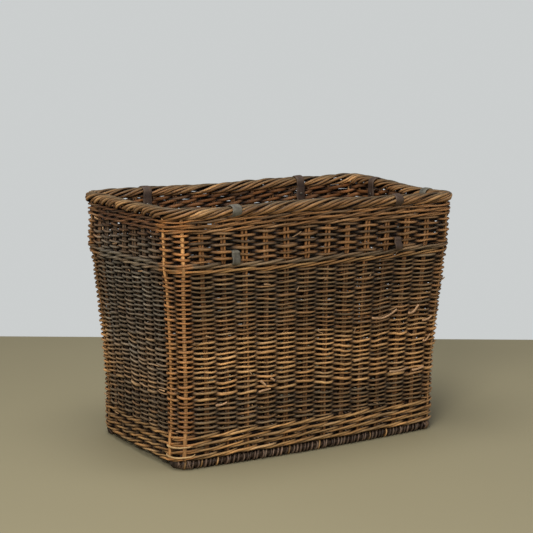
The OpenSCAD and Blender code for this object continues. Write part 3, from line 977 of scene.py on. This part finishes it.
def base_stick(seed, shares, radius, short):
    """Sticks of the base: each lies at a share of the way from the centre line to the edge."""
    rng = np.random.default_rng(seed)
    reach = half_length(0) - short
    x = np.linspace(-reach, reach, 30)[None] + np.zeros((len(shares), 1))
    y = np.asarray(shares)[:, None] * base_edge(x)
    path = np.stack([x, y, np.full_like(x, BASE_MIDDLE)], -1)
    outward = np.broadcast_to(np.array([0.0, 0.0, 1.0]), path.shape)
    sizes = radius * (1 + 0.03 * rng.normal(0, 1, x.shape))
    tint = STICK_BARK * rod_tones(rng, len(shares), 0.12)[:, None, None, None]
    return tube_set(rng, path, sizes, outward, tint, sides=14)


# ---- lashing and stray ends ----

LASHING_RADIUS = 0.0023


def lashing(seed):
    """Two thin rods bent round the foot of the front left corner, with their ends tucked in."""
    rng = np.random.default_rng(seed)
    q = np.linspace(0, 1, 26)[None]
    level = np.array([0.037, 0.061])[:, None]
    reach = np.array([0.95, 0.85])[:, None]
    u = FRONT_LEFT_POSTS + blend(-reach, reach, q)
    z = level + 0.004 * np.sin(math.pi * q) * np.array([[-1.0], [-0.6]]) + 0.003 * (q - 0.5)
    out = 0.0160 - 0.016 * (2 * q - 1) ** 6
    path, normal = on_wall(u, z, out + 0 * u)
    radius = LASHING_RADIUS * blend(1.1, 0.8, q) * np.ones((2, 1))
    tint = srgb(204, 168, 118) * np.ones((2, 26, 1, 1))
    return tube_set(rng, path, radius, normal, tint)


# Each broken rod: the station and level where it starts, those where it ends, and its radius.
BROKEN_RODS = (
    (8.45, 0.335, 9.70, 0.352, 0.0032), (10.42, 0.336, 10.86, 0.356, 0.0036),
    (11.40, 0.254, 11.70, 0.270, 0.0028), (2.64, 0.206, 2.86, 0.192, 0.0034),
    (3.15, 0.209, 3.30, 0.203, 0.0032), (2.55, 0.178, 3.10, 0.184, 0.0032),
    (9.60, 0.181, 10.60, 0.186, 0.0036), (10.90, 0.176, 11.50, 0.182, 0.0034),
    (11.25, 0.310, 11.70, 0.320, 0.0030), (0.40, 0.158, 0.90, 0.164, 0.0030))


def broken_rods(seed):
    """Broken weavers and cut butts that lie on the front, pale where the wood shows.

    Each runs along the row from one place to another and turns up near its end, where it also
    lifts off the weave: z and out grow as high powers of the way along.
    """
    rng = np.random.default_rng(seed)
    table = np.array(BROKEN_RODS)
    q = np.linspace(0, 1, 12)[None]
    bend = rng.normal(0, 0.0022, (len(table), 1))
    u = blend(table[:, :1], table[:, 2:3], q)
    z = blend(table[:, 1:2], table[:, 3:4], q ** 2.6) + bend * np.sin(math.pi * q)
    out = 0.0092 + 0.0040 * q ** 2
    path, normal = on_wall(u, z, out + 0 * u)
    radius = table[:, 4:] * blend(1.05, 0.75, q)
    tone = rod_tones(rng, len(table), 0.12)[:, None, None, None]
    tint = np.clip(srgb(180, 142, 106) * tone, 0, 1) * np.ones((1, 12, 1, 1))
    return tube_set(rng, path, radius, normal, tint)


STRAY_ENDS = 110


def stray_ends(seed):
    """Cut ends and slivers that stand a little off the weave.

    Each runs from inside the wall outwards along the row and curls: out grows as the square of
    the way along.
    """
    rng = np.random.default_rng(seed)
    u0 = rng.uniform(0, STATIONS, STRAY_ENDS)
    z0 = rng.uniform(0.06, 0.60, STRAY_ENDS)
    way = rng.choice([-1.0, 1.0], STRAY_ENDS)
    span = rng.uniform(0.15, 0.40, STRAY_ENDS)
    q = np.linspace(0, 1, 9)[None]
    u = u0[:, None] + way[:, None] * span[:, None] * q
    z = z0[:, None] + rng.normal(0, 0.006, (STRAY_ENDS, 1)) * q
    z = z + rng.normal(0, 0.003, (STRAY_ENDS, 1)) * q * q
    stand = rng.uniform(0.001, 0.0055, STRAY_ENDS)[:, None]
    face = rng.choice([-1.0, 1.0, 1.0, 1.0], STRAY_ENDS)
    out = face[:, None] * (0.0070 + 0.0040 * q + stand * q * q)
    path, normal = on_wall(u, z, out)
    radius = rng.uniform(0.0010, 0.0026, STRAY_ENDS)[:, None] * blend(1.0, 0.6, q)
    tone = rod_tones(rng, STRAY_ENDS, 0.3)[:, None, None, None]
    tint = np.clip(srgb(160, 126, 90) * tone, 0, 1) * np.ones((1, 9, 1, 1))
    return tube_set(rng, path, radius, normal, tint, sides=6)


# ---- straps and rivets ----

# Each strap's wall, and its place along it from the middle.
STRAPS = {
    "strap_front_left": (0, -0.252), "strap_front_right": (0, 0.238),
    "strap_back_left": (2, 0.257), "strap_back_right": (2, -0.235),
    "strap_end_front": (1, -0.119), "strap_end_back": (1, 0.119)}
GREY_STRAPS = ("strap_front_left", "strap_end_front")
STRAP_LANE = 0.0188   # the inner run stands this far in from the wall's middle line
TAIL_LANE = 0.0153    # and the tucked ends this far
LOOP_FACE = 0.0128    # the outer loop stands this far out
LOOP_TOP = OPEN[0] + 0.0275
LOOP_LOW = MIDDLE_WALE[1] - 0.005
TAIL = 0.026          # length of a tucked end
STRAP_RINGS = 170


def wall_away(wall, along, z):
    """Distance from the basket's centre to a wall's middle line, at a place along it."""
    long = wall % 2 == 0
    reach = (half_length(z) if long else half_width(z)) - CORNER_RADIUS
    f = np.clip(along / reach, -1, 1)
    away = half_width(z) if long else half_length(z)
    return away + bow(z) * (1 if long else END_BOW_SHARE) * (1 - f * f)


def rounded(line):
    """Cuts the corners of a line three times: the points a quarter from both ends of a side stay."""
    for _ in range(3):
        near = 0.75 * line[:-1] + 0.25 * line[1:]
        far = 0.25 * line[:-1] + 0.75 * line[1:]
        middle = np.stack([near, far], 1).reshape(-1, 2)
        line = np.concatenate([line[:1], middle, line[-1:]])
    return line


def strap_line():
    """Side view of a strap, as out from the wall and up.

    It runs from the upper tucked end out under the border, half round it, down the inside, out
    between the rods of the middle wale, up over its upper rods and in again.
    """
    border_middle = (BORDER[0] + BORDER[1]) / 2
    under = TOP_WALE[1] - 0.0018
    low = LOOP_LOW
    tucked = [(-TAIL_LANE, under - TAIL), (-TAIL_LANE, under - 0.008), (-TAIL_LANE, under), (0.004, under)]
    turn = np.radians(np.linspace(-50, 172, 12))
    over = np.stack([0.0186 * np.cos(turn), border_middle + 0.0156 * np.sin(turn)], 1)
    down = [(-STRAP_LANE, TOP_WALE[1] - 0.004), (-STRAP_LANE, low + 0.03), (-STRAP_LANE, low + 0.002)]
    through = [(-0.012, low), (0.006, low), (0.0165, low + 0.001), (0.0186, low + 0.007)]
    up = [(0.0176, low + 0.015), (LOOP_FACE + 0.0014, low + 0.021), (LOOP_FACE, LOOP_TOP - 0.008)]
    in_again = [(LOOP_FACE, LOOP_TOP), (0.0, LOOP_TOP), (-TAIL_LANE, LOOP_TOP)]
    end = [(-TAIL_LANE, LOOP_TOP + TAIL)]
    return rounded(np.concatenate([tucked, over, down, through, up, in_again, end]))


def resample(line, count):
    """Points at even steps along a line."""
    steps = np.linalg.norm(np.diff(line, axis=0), axis=1)
    place = np.concatenate([[0], np.cumsum(steps)])
    even = np.linspace(0, place[-1], count)
    return np.stack([np.interp(even, place, line[:, i]) for i in range(2)], 1)


def strap_section():
    """Half width and half thickness round the section of a strap: flat faces, soft edges."""
    across = np.linspace(-1, 1, 9)
    thin = np.sqrt(1 - np.clip((np.abs(across) - 0.86) / 0.14, 0, 1) ** 2 * 0.80)
    top = np.stack([across, thin], 1)
    bottom = np.stack([across[::-1], -thin[::-1]], 1)
    return np.concatenate([top, bottom])


def strap_waves(rng):
    """Places across a strap and through it, for each ring: small waves and a cupped face.

    The outer loop, which is worn, is a little slimmer than the rest.
    """
    flat, thin = strap_section().T
    place = np.linspace(0, 1, STRAP_RINGS)[:, None]
    phase = rng.uniform(0, 2 * math.pi, 4)
    edge_wave = 0.0006 * np.sin(40 * place + phase[0]) + 0.0004 * np.sin(95 * place + phase[1])
    twist = 0.000385 * np.sin(17 * place + phase[2]) * flat
    cup = 0.0005 * (flat ** 2 - 0.4)
    slim = blend(1.0, 0.86, smooth_step(0.45, 0.60, place))
    half = STRAP_WIDTH / 2 * slim * (1 + 0.02 * np.sin(28 * place + phase[3]))
    return flat * half + edge_wave, thin * STRAP_THICKNESS / 2 + cup + twist


def strap_wear(direction):
    """Wear of a strap from 0 to 1: its edges are worn, and so are its bends."""
    edge = smooth_step(0.72, 1.0, np.abs(strap_section()[:, 0]))
    bend = np.abs(np.gradient(np.unwrap(np.arctan2(direction[:, 1], direction[:, 0]))))
    return np.clip(edge + 3.0 * bend[:, None], 0, 1)


def strap(name, seed):
    """A strap: its section carried along the side view, on its wall."""
    rng = np.random.default_rng(seed)
    wall, along = STRAPS[name]
    line = resample(strap_line(), STRAP_RINGS)
    direction = unit(np.gradient(line, axis=0))
    normal = np.stack([-direction[:, 1], direction[:, 0]], 1)
    across, thick = strap_waves(rng)
    view = line[:, None] + thick[..., None] * normal[:, None]
    away = wall_away(wall, along + across, np.minimum(view[..., 1], TOP_WALE[1])) + view[..., 0]
    skin = np.concatenate([turn_to_wall(wall, along + across, away), view[..., 1:]], -1)
    steps = np.concatenate([[0], np.cumsum(np.linalg.norm(np.diff(line, axis=0), axis=1))])
    bark = np.stack([np.broadcast_to(steps[:, None], across.shape), across, thick], -1).reshape(-1, 3)
    wear = np.repeat(strap_wear(direction).reshape(-1, 1), 3, axis=1)
    parts = closed_tube(skin, skin[[0, -1]].mean(1))
    parts["tint"] = np.concatenate([wear, wear[:2]])
    parts["bark"] = np.concatenate([bark, bark[:2]])
    return parts


RIVET_RADIUS = 0.0045
RIVET_DOME = 0.0032
RIVET_HALF = 0.0036    # half the shank, from the middle to a head
RIVET_SIDES = 18
RIVET_UP = 0.6 * TAIL  # how far along a tucked end its rivet is

# Half a rivet's outline from its pole to its shank, as shares of the radius and of the dome.
RIVET_OUTLINE = [(0, 0.5), (0.55, 0.42), (0.9, 0.2), (1.0, 0.0), (0.95, -0.12), (0.42, -0.14)]


def rivets():
    """Low domes on both ends of a shank, one rivet through each tucked end of each strap.

    The outline runs from pole to pole, as radius against height, and turns round the axis.
    """
    upper = [(r * RIVET_RADIUS, RIVET_HALF + h * RIVET_DOME) for r, h in RIVET_OUTLINE]
    profile = np.array(upper + [(r, -h) for r, h in upper[::-1]])
    angle = 2 * math.pi * np.arange(RIVET_SIDES) / RIVET_SIDES
    radius, height = profile[1:-1, :1], profile[1:-1, 1:]
    sets = []
    for wall, along in STRAPS.values():
        for z in (TOP_WALE[1] - 0.0018 - RIVET_UP, LOOP_TOP - 0.0015 + RIVET_UP):
            out = wall_away(wall, along, z) - (STRAP_LANE + TAIL_LANE) / 2
            plan = turn_to_wall(wall, along + radius * np.cos(angle), out + height + 0 * angle)
            level = z + radius * np.sin(angle)
            poles = [np.append(turn_to_wall(wall, along, out + h), z) for h in profile[[0, -1], 1]]
            parts = closed_tube(np.concatenate([plan, level[..., None]], -1), poles)
            parts["tint"] = np.full(parts["verts"].shape, 0.5)
            parts["bark"] = parts["verts"].copy()
            sets.append(parts)
    return join_sets(sets)


# ---- materials ----

class Value:
    """A shader socket that can be used in sums: each operator adds one Math node."""

    def __init__(self, shader, socket):
        self.shader = shader
        self.socket = socket

    def math(self, operation, first, second):
        """One Math node."""
        return self.shader.value("ShaderNodeMath", {"operation": operation}, {0: first, 1: second})

    def __add__(self, other):
        return self.math("ADD", self, other)

    def __radd__(self, other):
        return self.math("ADD", other, self)

    def __sub__(self, other):
        return self.math("SUBTRACT", self, other)

    def __rsub__(self, other):
        return self.math("SUBTRACT", other, self)

    def __mul__(self, other):
        return self.math("MULTIPLY", self, other)

    def __rmul__(self, other):
        return self.math("MULTIPLY", other, self)


class Shader:
    """The node tree of a material or of the world, whose nodes all come from one method."""

    def __init__(self, owner):
        owner.use_nodes = True
        self.owner = owner
        self.tree = owner.node_tree
        self.tree.nodes.clear()

    def node(self, kind, settings, sockets):
        """Adds a node: its settings first, then the value or the link of each socket."""
        node = self.tree.nodes.new(kind)
        for key, value in settings.items():
            setattr(node, key, value)
        for key, value in sockets.items():
            if isinstance(value, Value):
                self.tree.links.new(value.socket, node.inputs[key])
            else:
                node.inputs[key].default_value = value
        return node

    def value(self, kind, settings, sockets, output=0):
        """Adds a node and gives one of its outputs."""
        return Value(self, self.node(kind, settings, sockets).outputs[output])

    def attribute(self, name, output):
        """A value, colour or vector that the mesh carries."""
        return self.value("ShaderNodeAttribute", {"attribute_name": name}, {}, output)

    def scaled(self, vector, scale):
        """A vector times a scale for each axis."""
        return self.value("ShaderNodeMapping", {}, {"Vector": vector, "Scale": scale})

    def noise(self, vector, detail=3.0, roughness=0.55):
        """Smooth random values around a half."""
        sockets = {"Vector": vector, "Scale": 1.0, "Detail": detail, "Roughness": roughness}
        return self.value("ShaderNodeTexNoise", {}, sockets)

    def cells(self, vector):
        """Distance to the nearest of many scattered points."""
        sockets = {"Vector": vector, "Scale": 1.0, "Randomness": 1.0}
        return self.value("ShaderNodeTexVoronoi", {"feature": "F1"}, sockets, "Distance")

    def ramp(self, value, low, high, to_low=0.0, to_high=1.0):
        """Smooth change from to_low to to_high while value goes from low to high."""
        sockets = {"Value": value, "From Min": low, "From Max": high, "To Min": to_low, "To Max": to_high}
        return self.value("ShaderNodeMapRange", {"interpolation_type": "SMOOTHSTEP"}, sockets)

    def mix(self, share, first, second, mode="MIX"):
        """Two colours mixed by a share."""
        settings = {"data_type": "RGBA", "blend_type": mode}
        return self.value("ShaderNodeMix", settings, {0: share, 6: first, 7: second}, 2)

    def grey(self, value):
        """A number as a grey colour."""
        return self.value("ShaderNodeCombineColor", {}, {0: value, 1: value, 2: value})

    def bump(self, height, strength, distance):
        """A normal tilted by the slope of a height."""
        sockets = {"Height": height, "Strength": strength, "Distance": distance}
        return self.value("ShaderNodeBump", {}, sockets)

    def surface(self, **sockets):
        """The Principled shader, with socket names written with underscores."""
        named = {key.replace("_", " "): value for key, value in sockets.items()}
        shader = self.value("ShaderNodeBsdfPrincipled", {}, named)
        self.node("ShaderNodeOutputMaterial", {}, {"Surface": shader})
        return self.owner


FRECKLE = (0.46, 0.34, 0.215, 1.0)
KNOT = (0.035, 0.022, 0.014, 1.0)
DUST = (0.31, 0.262, 0.19, 1.0)
WILLOW_SHEEN = 0.28


def willow(name, gloss, dust):
    """Unpeeled dry willow.

    The rod's own tint, with streaks along it, paler freckles, dark knots, a little dust and
    shallow wrinkles.
    """
    s = Shader(bpy.data.materials.new(name))
    tint = s.attribute("tint", "Color")
    bark = s.attribute("bark", "Vector")
    streak = s.noise(s.scaled(bark, (70, 900, 900)), detail=4.0, roughness=0.6)
    patch = s.noise(s.scaled(bark, (16, 110, 110)))
    fine = s.noise(s.scaled(bark, (900, 1500, 1500)), detail=2.0)
    freckle = s.ramp(s.cells(s.scaled(bark, (240, 420, 420))), 0.10, 0.22, 1.0, 0.0)
    knot = s.ramp(s.cells(s.scaled(bark, (22, 75, 75))), 0.05, 0.16, 1.0, 0.0)
    shade = s.ramp(streak, 0.25, 0.75, 0.60, 1.48) * s.ramp(patch, 0.3, 0.7, 0.80, 1.22)
    colour = s.mix(1.0, tint, s.grey(shade * s.ramp(fine, 0.3, 0.7, 0.9, 1.1)), mode="MULTIPLY")
    colour = s.mix(freckle * 0.38, colour, FRECKLE)
    colour = s.mix(knot * 0.7, colour, KNOT)
    colour = s.mix(s.ramp(patch, 0.55, 0.75) * dust, colour, DUST)
    height = streak * 0.6 + fine * 0.25 + patch * 0.3 - knot * 0.5
    rough = s.ramp(patch, 0.3, 0.7, 0.46 - gloss, 0.68 - gloss)
    return s.surface(Base_Color=colour, Roughness=rough, Specular_IOR_Level=WILLOW_SHEEN,
                     Normal=s.bump(height, 0.55, 0.0006))


# Each leather: its face, its worn edges and its faded patches.
BROWN_LEATHER = ((0.034, 0.017, 0.010, 1.0), (0.10, 0.060, 0.034, 1.0), (0.060, 0.033, 0.020, 1.0))
GREY_LEATHER = ((0.048, 0.041, 0.030, 1.0), (0.17, 0.154, 0.115, 1.0), (0.110, 0.100, 0.075, 1.0))
LEATHER_CREASE = (0.02, 0.015, 0.01, 1.0)


def leather(name, colours):
    """Strap leather: grain, creases across the strap, paler worn edges, and faded patches."""
    face, edge, faded = colours
    s = Shader(bpy.data.materials.new(name))
    worn = s.value("ShaderNodeSeparateColor", {}, {0: s.attribute("tint", "Color")})
    place = s.attribute("bark", "Vector")
    grain = s.cells(s.scaled(place, (1100, 1100, 400)))
    crease = s.noise(s.scaled(place, (420, 45, 45)), detail=4.0, roughness=0.65)
    cloud = s.noise(s.scaled(place, (60, 80, 80)), detail=4.0)
    colour = s.mix(s.ramp(cloud, 0.35, 0.7), face, faded)
    colour = s.mix(s.ramp(crease, 0.52, 0.70) * 0.55, colour, LEATHER_CREASE)
    colour = s.mix(worn * s.ramp(cloud, 0.3, 0.6, 0.35, 0.85), colour, edge)
    height = grain * 0.3 - crease * 0.8 + cloud * 0.3
    rough = s.ramp(cloud, 0.3, 0.7, 0.52, 0.76)
    return s.surface(Base_Color=colour, Roughness=rough, Normal=s.bump(height, 0.6, 0.0007))


BRIGHT_STEEL = (0.20, 0.17, 0.14, 1.0)
TARNISH = (0.06, 0.042, 0.03, 1.0)


def tarnished_steel(name):
    """Dull steel: dark tarnish in clouds over a brushed grey."""
    s = Shader(bpy.data.materials.new(name))
    cloud = s.noise(s.scaled(s.attribute("bark", "Vector"), (500, 500, 500)), detail=4.0)
    colour = s.mix(s.ramp(cloud, 0.35, 0.65), BRIGHT_STEEL, TARNISH)
    rough = s.ramp(cloud, 0.3, 0.7, 0.35, 0.7)
    return s.surface(Base_Color=colour, Roughness=rough, Metallic=0.85, Normal=s.bump(cloud, 0.3, 0.0003))


def plain_floor(name, colour):
    """A matt surface with a faint cloudy tone."""
    s = Shader(bpy.data.materials.new(name))
    place = s.value("ShaderNodeTexCoord", {}, {}, "Object")
    cloud = s.noise(s.scaled(place, (1.6, 1.6, 1.6)), detail=5.0)
    lighter = tuple(c * 1.06 for c in colour)
    return s.surface(Base_Color=s.mix(cloud, colour + (1.0,), lighter + (1.0,)), Roughness=0.8)


# ---- the stage ----

VIEW_TURN = math.radians(-31.84)
VIEW_TILT = math.radians(9.135)
VIEW_ROLL = math.radians(0.372)
VIEW_DISTANCE = 3.8326
VIEW_AIM_HEIGHT = 0.4504
VIEW_AIM_SHIFT = -0.011
LENS = 96.55


def placement(right, up, back, place):
    """The matrix of a camera or a light that looks along -back from a place."""
    matrix = np.eye(4)
    matrix[:3] = np.stack([right, up, back, place], axis=1)
    return mathutils.Matrix(matrix)


def add_camera():
    """The camera looks at a point above the base, from the front left and a little above."""
    turn, tilt, roll = VIEW_TURN, VIEW_TILT, VIEW_ROLL
    back = np.array([math.sin(turn) * math.cos(tilt), -math.cos(turn) * math.cos(tilt), math.sin(tilt)])
    level = np.array([math.cos(turn), math.sin(turn), 0.0])
    rise = np.cross(back, level)
    right = math.cos(roll) * level + math.sin(roll) * rise
    up = math.cos(roll) * rise - math.sin(roll) * level
    aim = VIEW_AIM_SHIFT * level + np.array([0.0, 0.0, VIEW_AIM_HEIGHT])
    data = bpy.data.cameras.new("camera")
    data.lens = LENS
    data.sensor_width = 36.0
    data.clip_end = 60.0
    camera = bpy.data.objects.new("camera", data)
    bpy.context.scene.collection.objects.link(camera)
    camera.matrix_world = placement(right, up, back, aim + VIEW_DISTANCE * back)
    bpy.context.scene.camera = camera


# Each light: where it is, the side of its square, its power and its colour.
LIGHTS = {
    "key": ((-2.6, -2.8, 2.7), 1.2, 94.0, (1.0, 0.98, 0.94)),
    "top": ((-0.5, -0.3, 3.3), 1.8, 60.0, (1.0, 1.0, 1.0)),
    "fill": ((2.8, -2.4, 1.6), 2.0, 14.0, (0.95, 0.97, 1.0))}
LIGHTS_AIM = np.array([0.0, 0.0, 0.3])


def add_area(name, place, size, power, colour):
    """A square area light that faces the basket."""
    data = bpy.data.lights.new(name, "AREA")
    data.size = size
    data.energy = power
    data.color = colour
    light = bpy.data.objects.new(name, data)
    bpy.context.scene.collection.objects.link(light)
    back = unit(np.array(place) - LIGHTS_AIM)
    side = unit(np.cross(np.array([0.0, 0.0, 1.0]), back))
    light.matrix_world = placement(side, np.cross(back, side), back, place)


WORLD_LIGHT = 0.30
WORLD_COLOUR = (0.95, 0.97, 1.0, 1.0)
BACKGROUND = (0.60, 0.62, 0.62, 1.0)


def soft_world():
    """A pale studio: the background that is seen is brighter than the light that it gives."""
    world = bpy.data.worlds.new("soft_world")
    s = Shader(world)
    light = s.value("ShaderNodeBackground", {}, {"Color": WORLD_COLOUR, "Strength": WORLD_LIGHT})
    seen = s.value("ShaderNodeBackground", {}, {"Color": BACKGROUND})
    is_seen = s.value("ShaderNodeLightPath", {}, {}, "Is Camera Ray")
    mixed = s.value("ShaderNodeMixShader", {}, {0: is_seen, 1: light, 2: seen})
    s.node("ShaderNodeOutputWorld", {}, {"Surface": mixed})
    bpy.context.scene.world = world


FLOOR_COLOUR = (0.288, 0.250, 0.148)
FLOOR_REACH = 9.0
FLOOR_BEHIND = 1.198


def add_floor():
    """A floor, square to the view, that ends a little behind the basket."""
    across = np.array([math.cos(VIEW_TURN), math.sin(VIEW_TURN), 0.0])
    away = np.array([-math.sin(VIEW_TURN), math.cos(VIEW_TURN), 0.0])
    sides = ((-1, -FLOOR_REACH), (1, -FLOOR_REACH), (1, FLOOR_BEHIND), (-1, FLOOR_BEHIND))
    corners = [side * FLOOR_REACH * across + depth * away for side, depth in sides]
    mesh = bpy.data.meshes.new("floor")
    mesh.from_pydata(corners, [], [(0, 1, 2, 3)])
    mesh.materials.append(plain_floor("pale_floor", FLOOR_COLOUR))
    floor = bpy.data.objects.new("floor", mesh)
    bpy.context.scene.collection.objects.link(floor)


def add_stage():
    """The floor, the soft world and three large lights."""
    add_floor()
    soft_world()
    for name, light in LIGHTS.items():
        add_area(name, *light)


# ---- putting the basket together ----

LOWER_ROWS, LIGHT_ROWS, UPPER_ROWS, OPEN_ROWS = 14, 23, 29, 10


def add_weave(willow_brown, willow_light):
    """The woven bands, from the foot up. The close rows are one pile, so that bands interlock."""
    rows = LOWER_ROWS + LIGHT_ROWS + UPPER_ROWS
    light_from, light_to = LOWER_ROWS, LOWER_ROWS + LIGHT_ROWS
    row = np.arange(rows)
    light = (row >= light_from) & (row < light_to)
    butts = np.where(light, 0.0076, 0.0073)
    tips = np.where(light, 0.0055, 0.0053)
    butts[light_from:light_from + 2] = 0.0085
    tips[light_from:light_from + 2] = 0.0068
    close = Rows(20, LOWER[0], UPPER[1], butts, tips, 0.055)
    wide = Rows(19, OPEN[0], OPEN[1], np.full(OPEN_ROWS, 0.0078), np.full(OPEN_ROWS, 0.0062), 0.09)
    make_piece("upsett_weave", waling(21, UPSETT, 4, 0.0036, 0.0054, UPSETT_BARK, sink=0.013),
               willow_light, ["upsett_wale"])
    make_piece("lower_weave", randing(22, close, 0, light_from, DARK_BARK), willow_brown,
               ["randing_lower"])
    make_piece("light_weave", randing(23, close, light_from, light_to, LIGHT_BARK, pale_rows=2),
               willow_light, ["randing_light"])
    make_piece("upper_weave", randing(24, close, light_to, rows, DARK_BARK), willow_brown,
               ["randing_upper"])
    middle_wale = waling(25, MIDDLE_WALE, 2, 0.0037, 0.0058, UPSETT_BARK * 0.66, grey_round=1)
    make_piece("middle_wale_weave", middle_wale, willow_light, ["middle_wale"])
    make_piece("open_weave", randing(26, wide, 0, OPEN_ROWS, OPEN_BARK, inside=1.15), willow_brown,
               ["open_randing"])
    make_piece("top_wale_weave", waling(27, TOP_WALE, 3, 0.0033, 0.0044, BROWN_BARK), willow_light,
               ["top_wale"])
    make_piece("rolled_border", border_rods(28), willow_light, ["border"])


def add_uprights(willow_brown, willow_light):
    """Stakes, the second rods beside them, and the posts."""
    walls = ("front", "right", "back", "left")
    for wall, word in enumerate(walls):
        make_piece("stake_rods_" + word, stake_wall(40 + wall, wall, -1), willow_brown,
                   ["stakes_" + word])
        make_piece("by_stake_rods_" + word, stake_wall(50 + wall, wall, 1), willow_brown,
                   ["by_stakes_" + word])
    for corner, word in enumerate(("front_right", "back_right", "back_left", "front_left")):
        make_piece("post_rods_" + word, corner_posts(60 + corner, corner), willow_light,
                   ["corner_posts_" + word])


def add_base(willow_brown):
    """The woven base and its sticks."""
    make_piece("base_rods", base_passes(70), willow_brown, ["base_weave"])
    make_piece("edge_stick_front", base_stick(71, [-1.0], EDGE_STICK, 0.006), willow_brown,
               ["base_edge_stick_front"])
    make_piece("edge_stick_back", base_stick(72, [1.0], EDGE_STICK, 0.006), willow_brown,
               ["base_edge_stick_back"])
    shares = 2 * np.arange(1, INNER_STICKS + 1) / (INNER_STICKS + 1) - 1
    make_piece("inner_sticks", base_stick(73, shares, BASE_STICK, 0.0), willow_brown,
               ["base_sticks"])


def add_straps():
    """The six straps and their rivets."""
    brown = leather("brown_leather", BROWN_LEATHER)
    grey = leather("bleached_leather", GREY_LEATHER)
    for seed, name in enumerate(STRAPS):
        bleached = name in GREY_STRAPS
        make_piece("leather_" + name, strap(name, 80 + seed), grey if bleached else brown,
                   [name])
    make_piece("rivets", rivets(), tarnished_steel("tarnished_steel"), ["strap_rivets"])


def add_trim(willow_light):
    """Thin rods that aren't part of the weave: the lashing, broken rods and cut ends."""
    make_piece("corner_lashing_rods", lashing(90), willow_light, ["corner_lashing"])
    make_piece("broken_rods", broken_rods(92), willow_light, [])
    make_piece("stray_rod_ends", stray_ends(91), willow_light, [])


def main():
    """Builds the basket, the stage and the view."""
    willow_brown = willow("brown_willow", gloss=0.02, dust=0.30)
    willow_light = willow("light_willow", gloss=0.04, dust=0.18)
    add_weave(willow_brown, willow_light)
    add_uprights(willow_brown, willow_light)
    add_base(willow_brown)
    add_straps()
    add_trim(willow_light)
    add_stage()
    add_camera()
    bpy.context.scene.view_settings.view_transform = "Standard"


main()
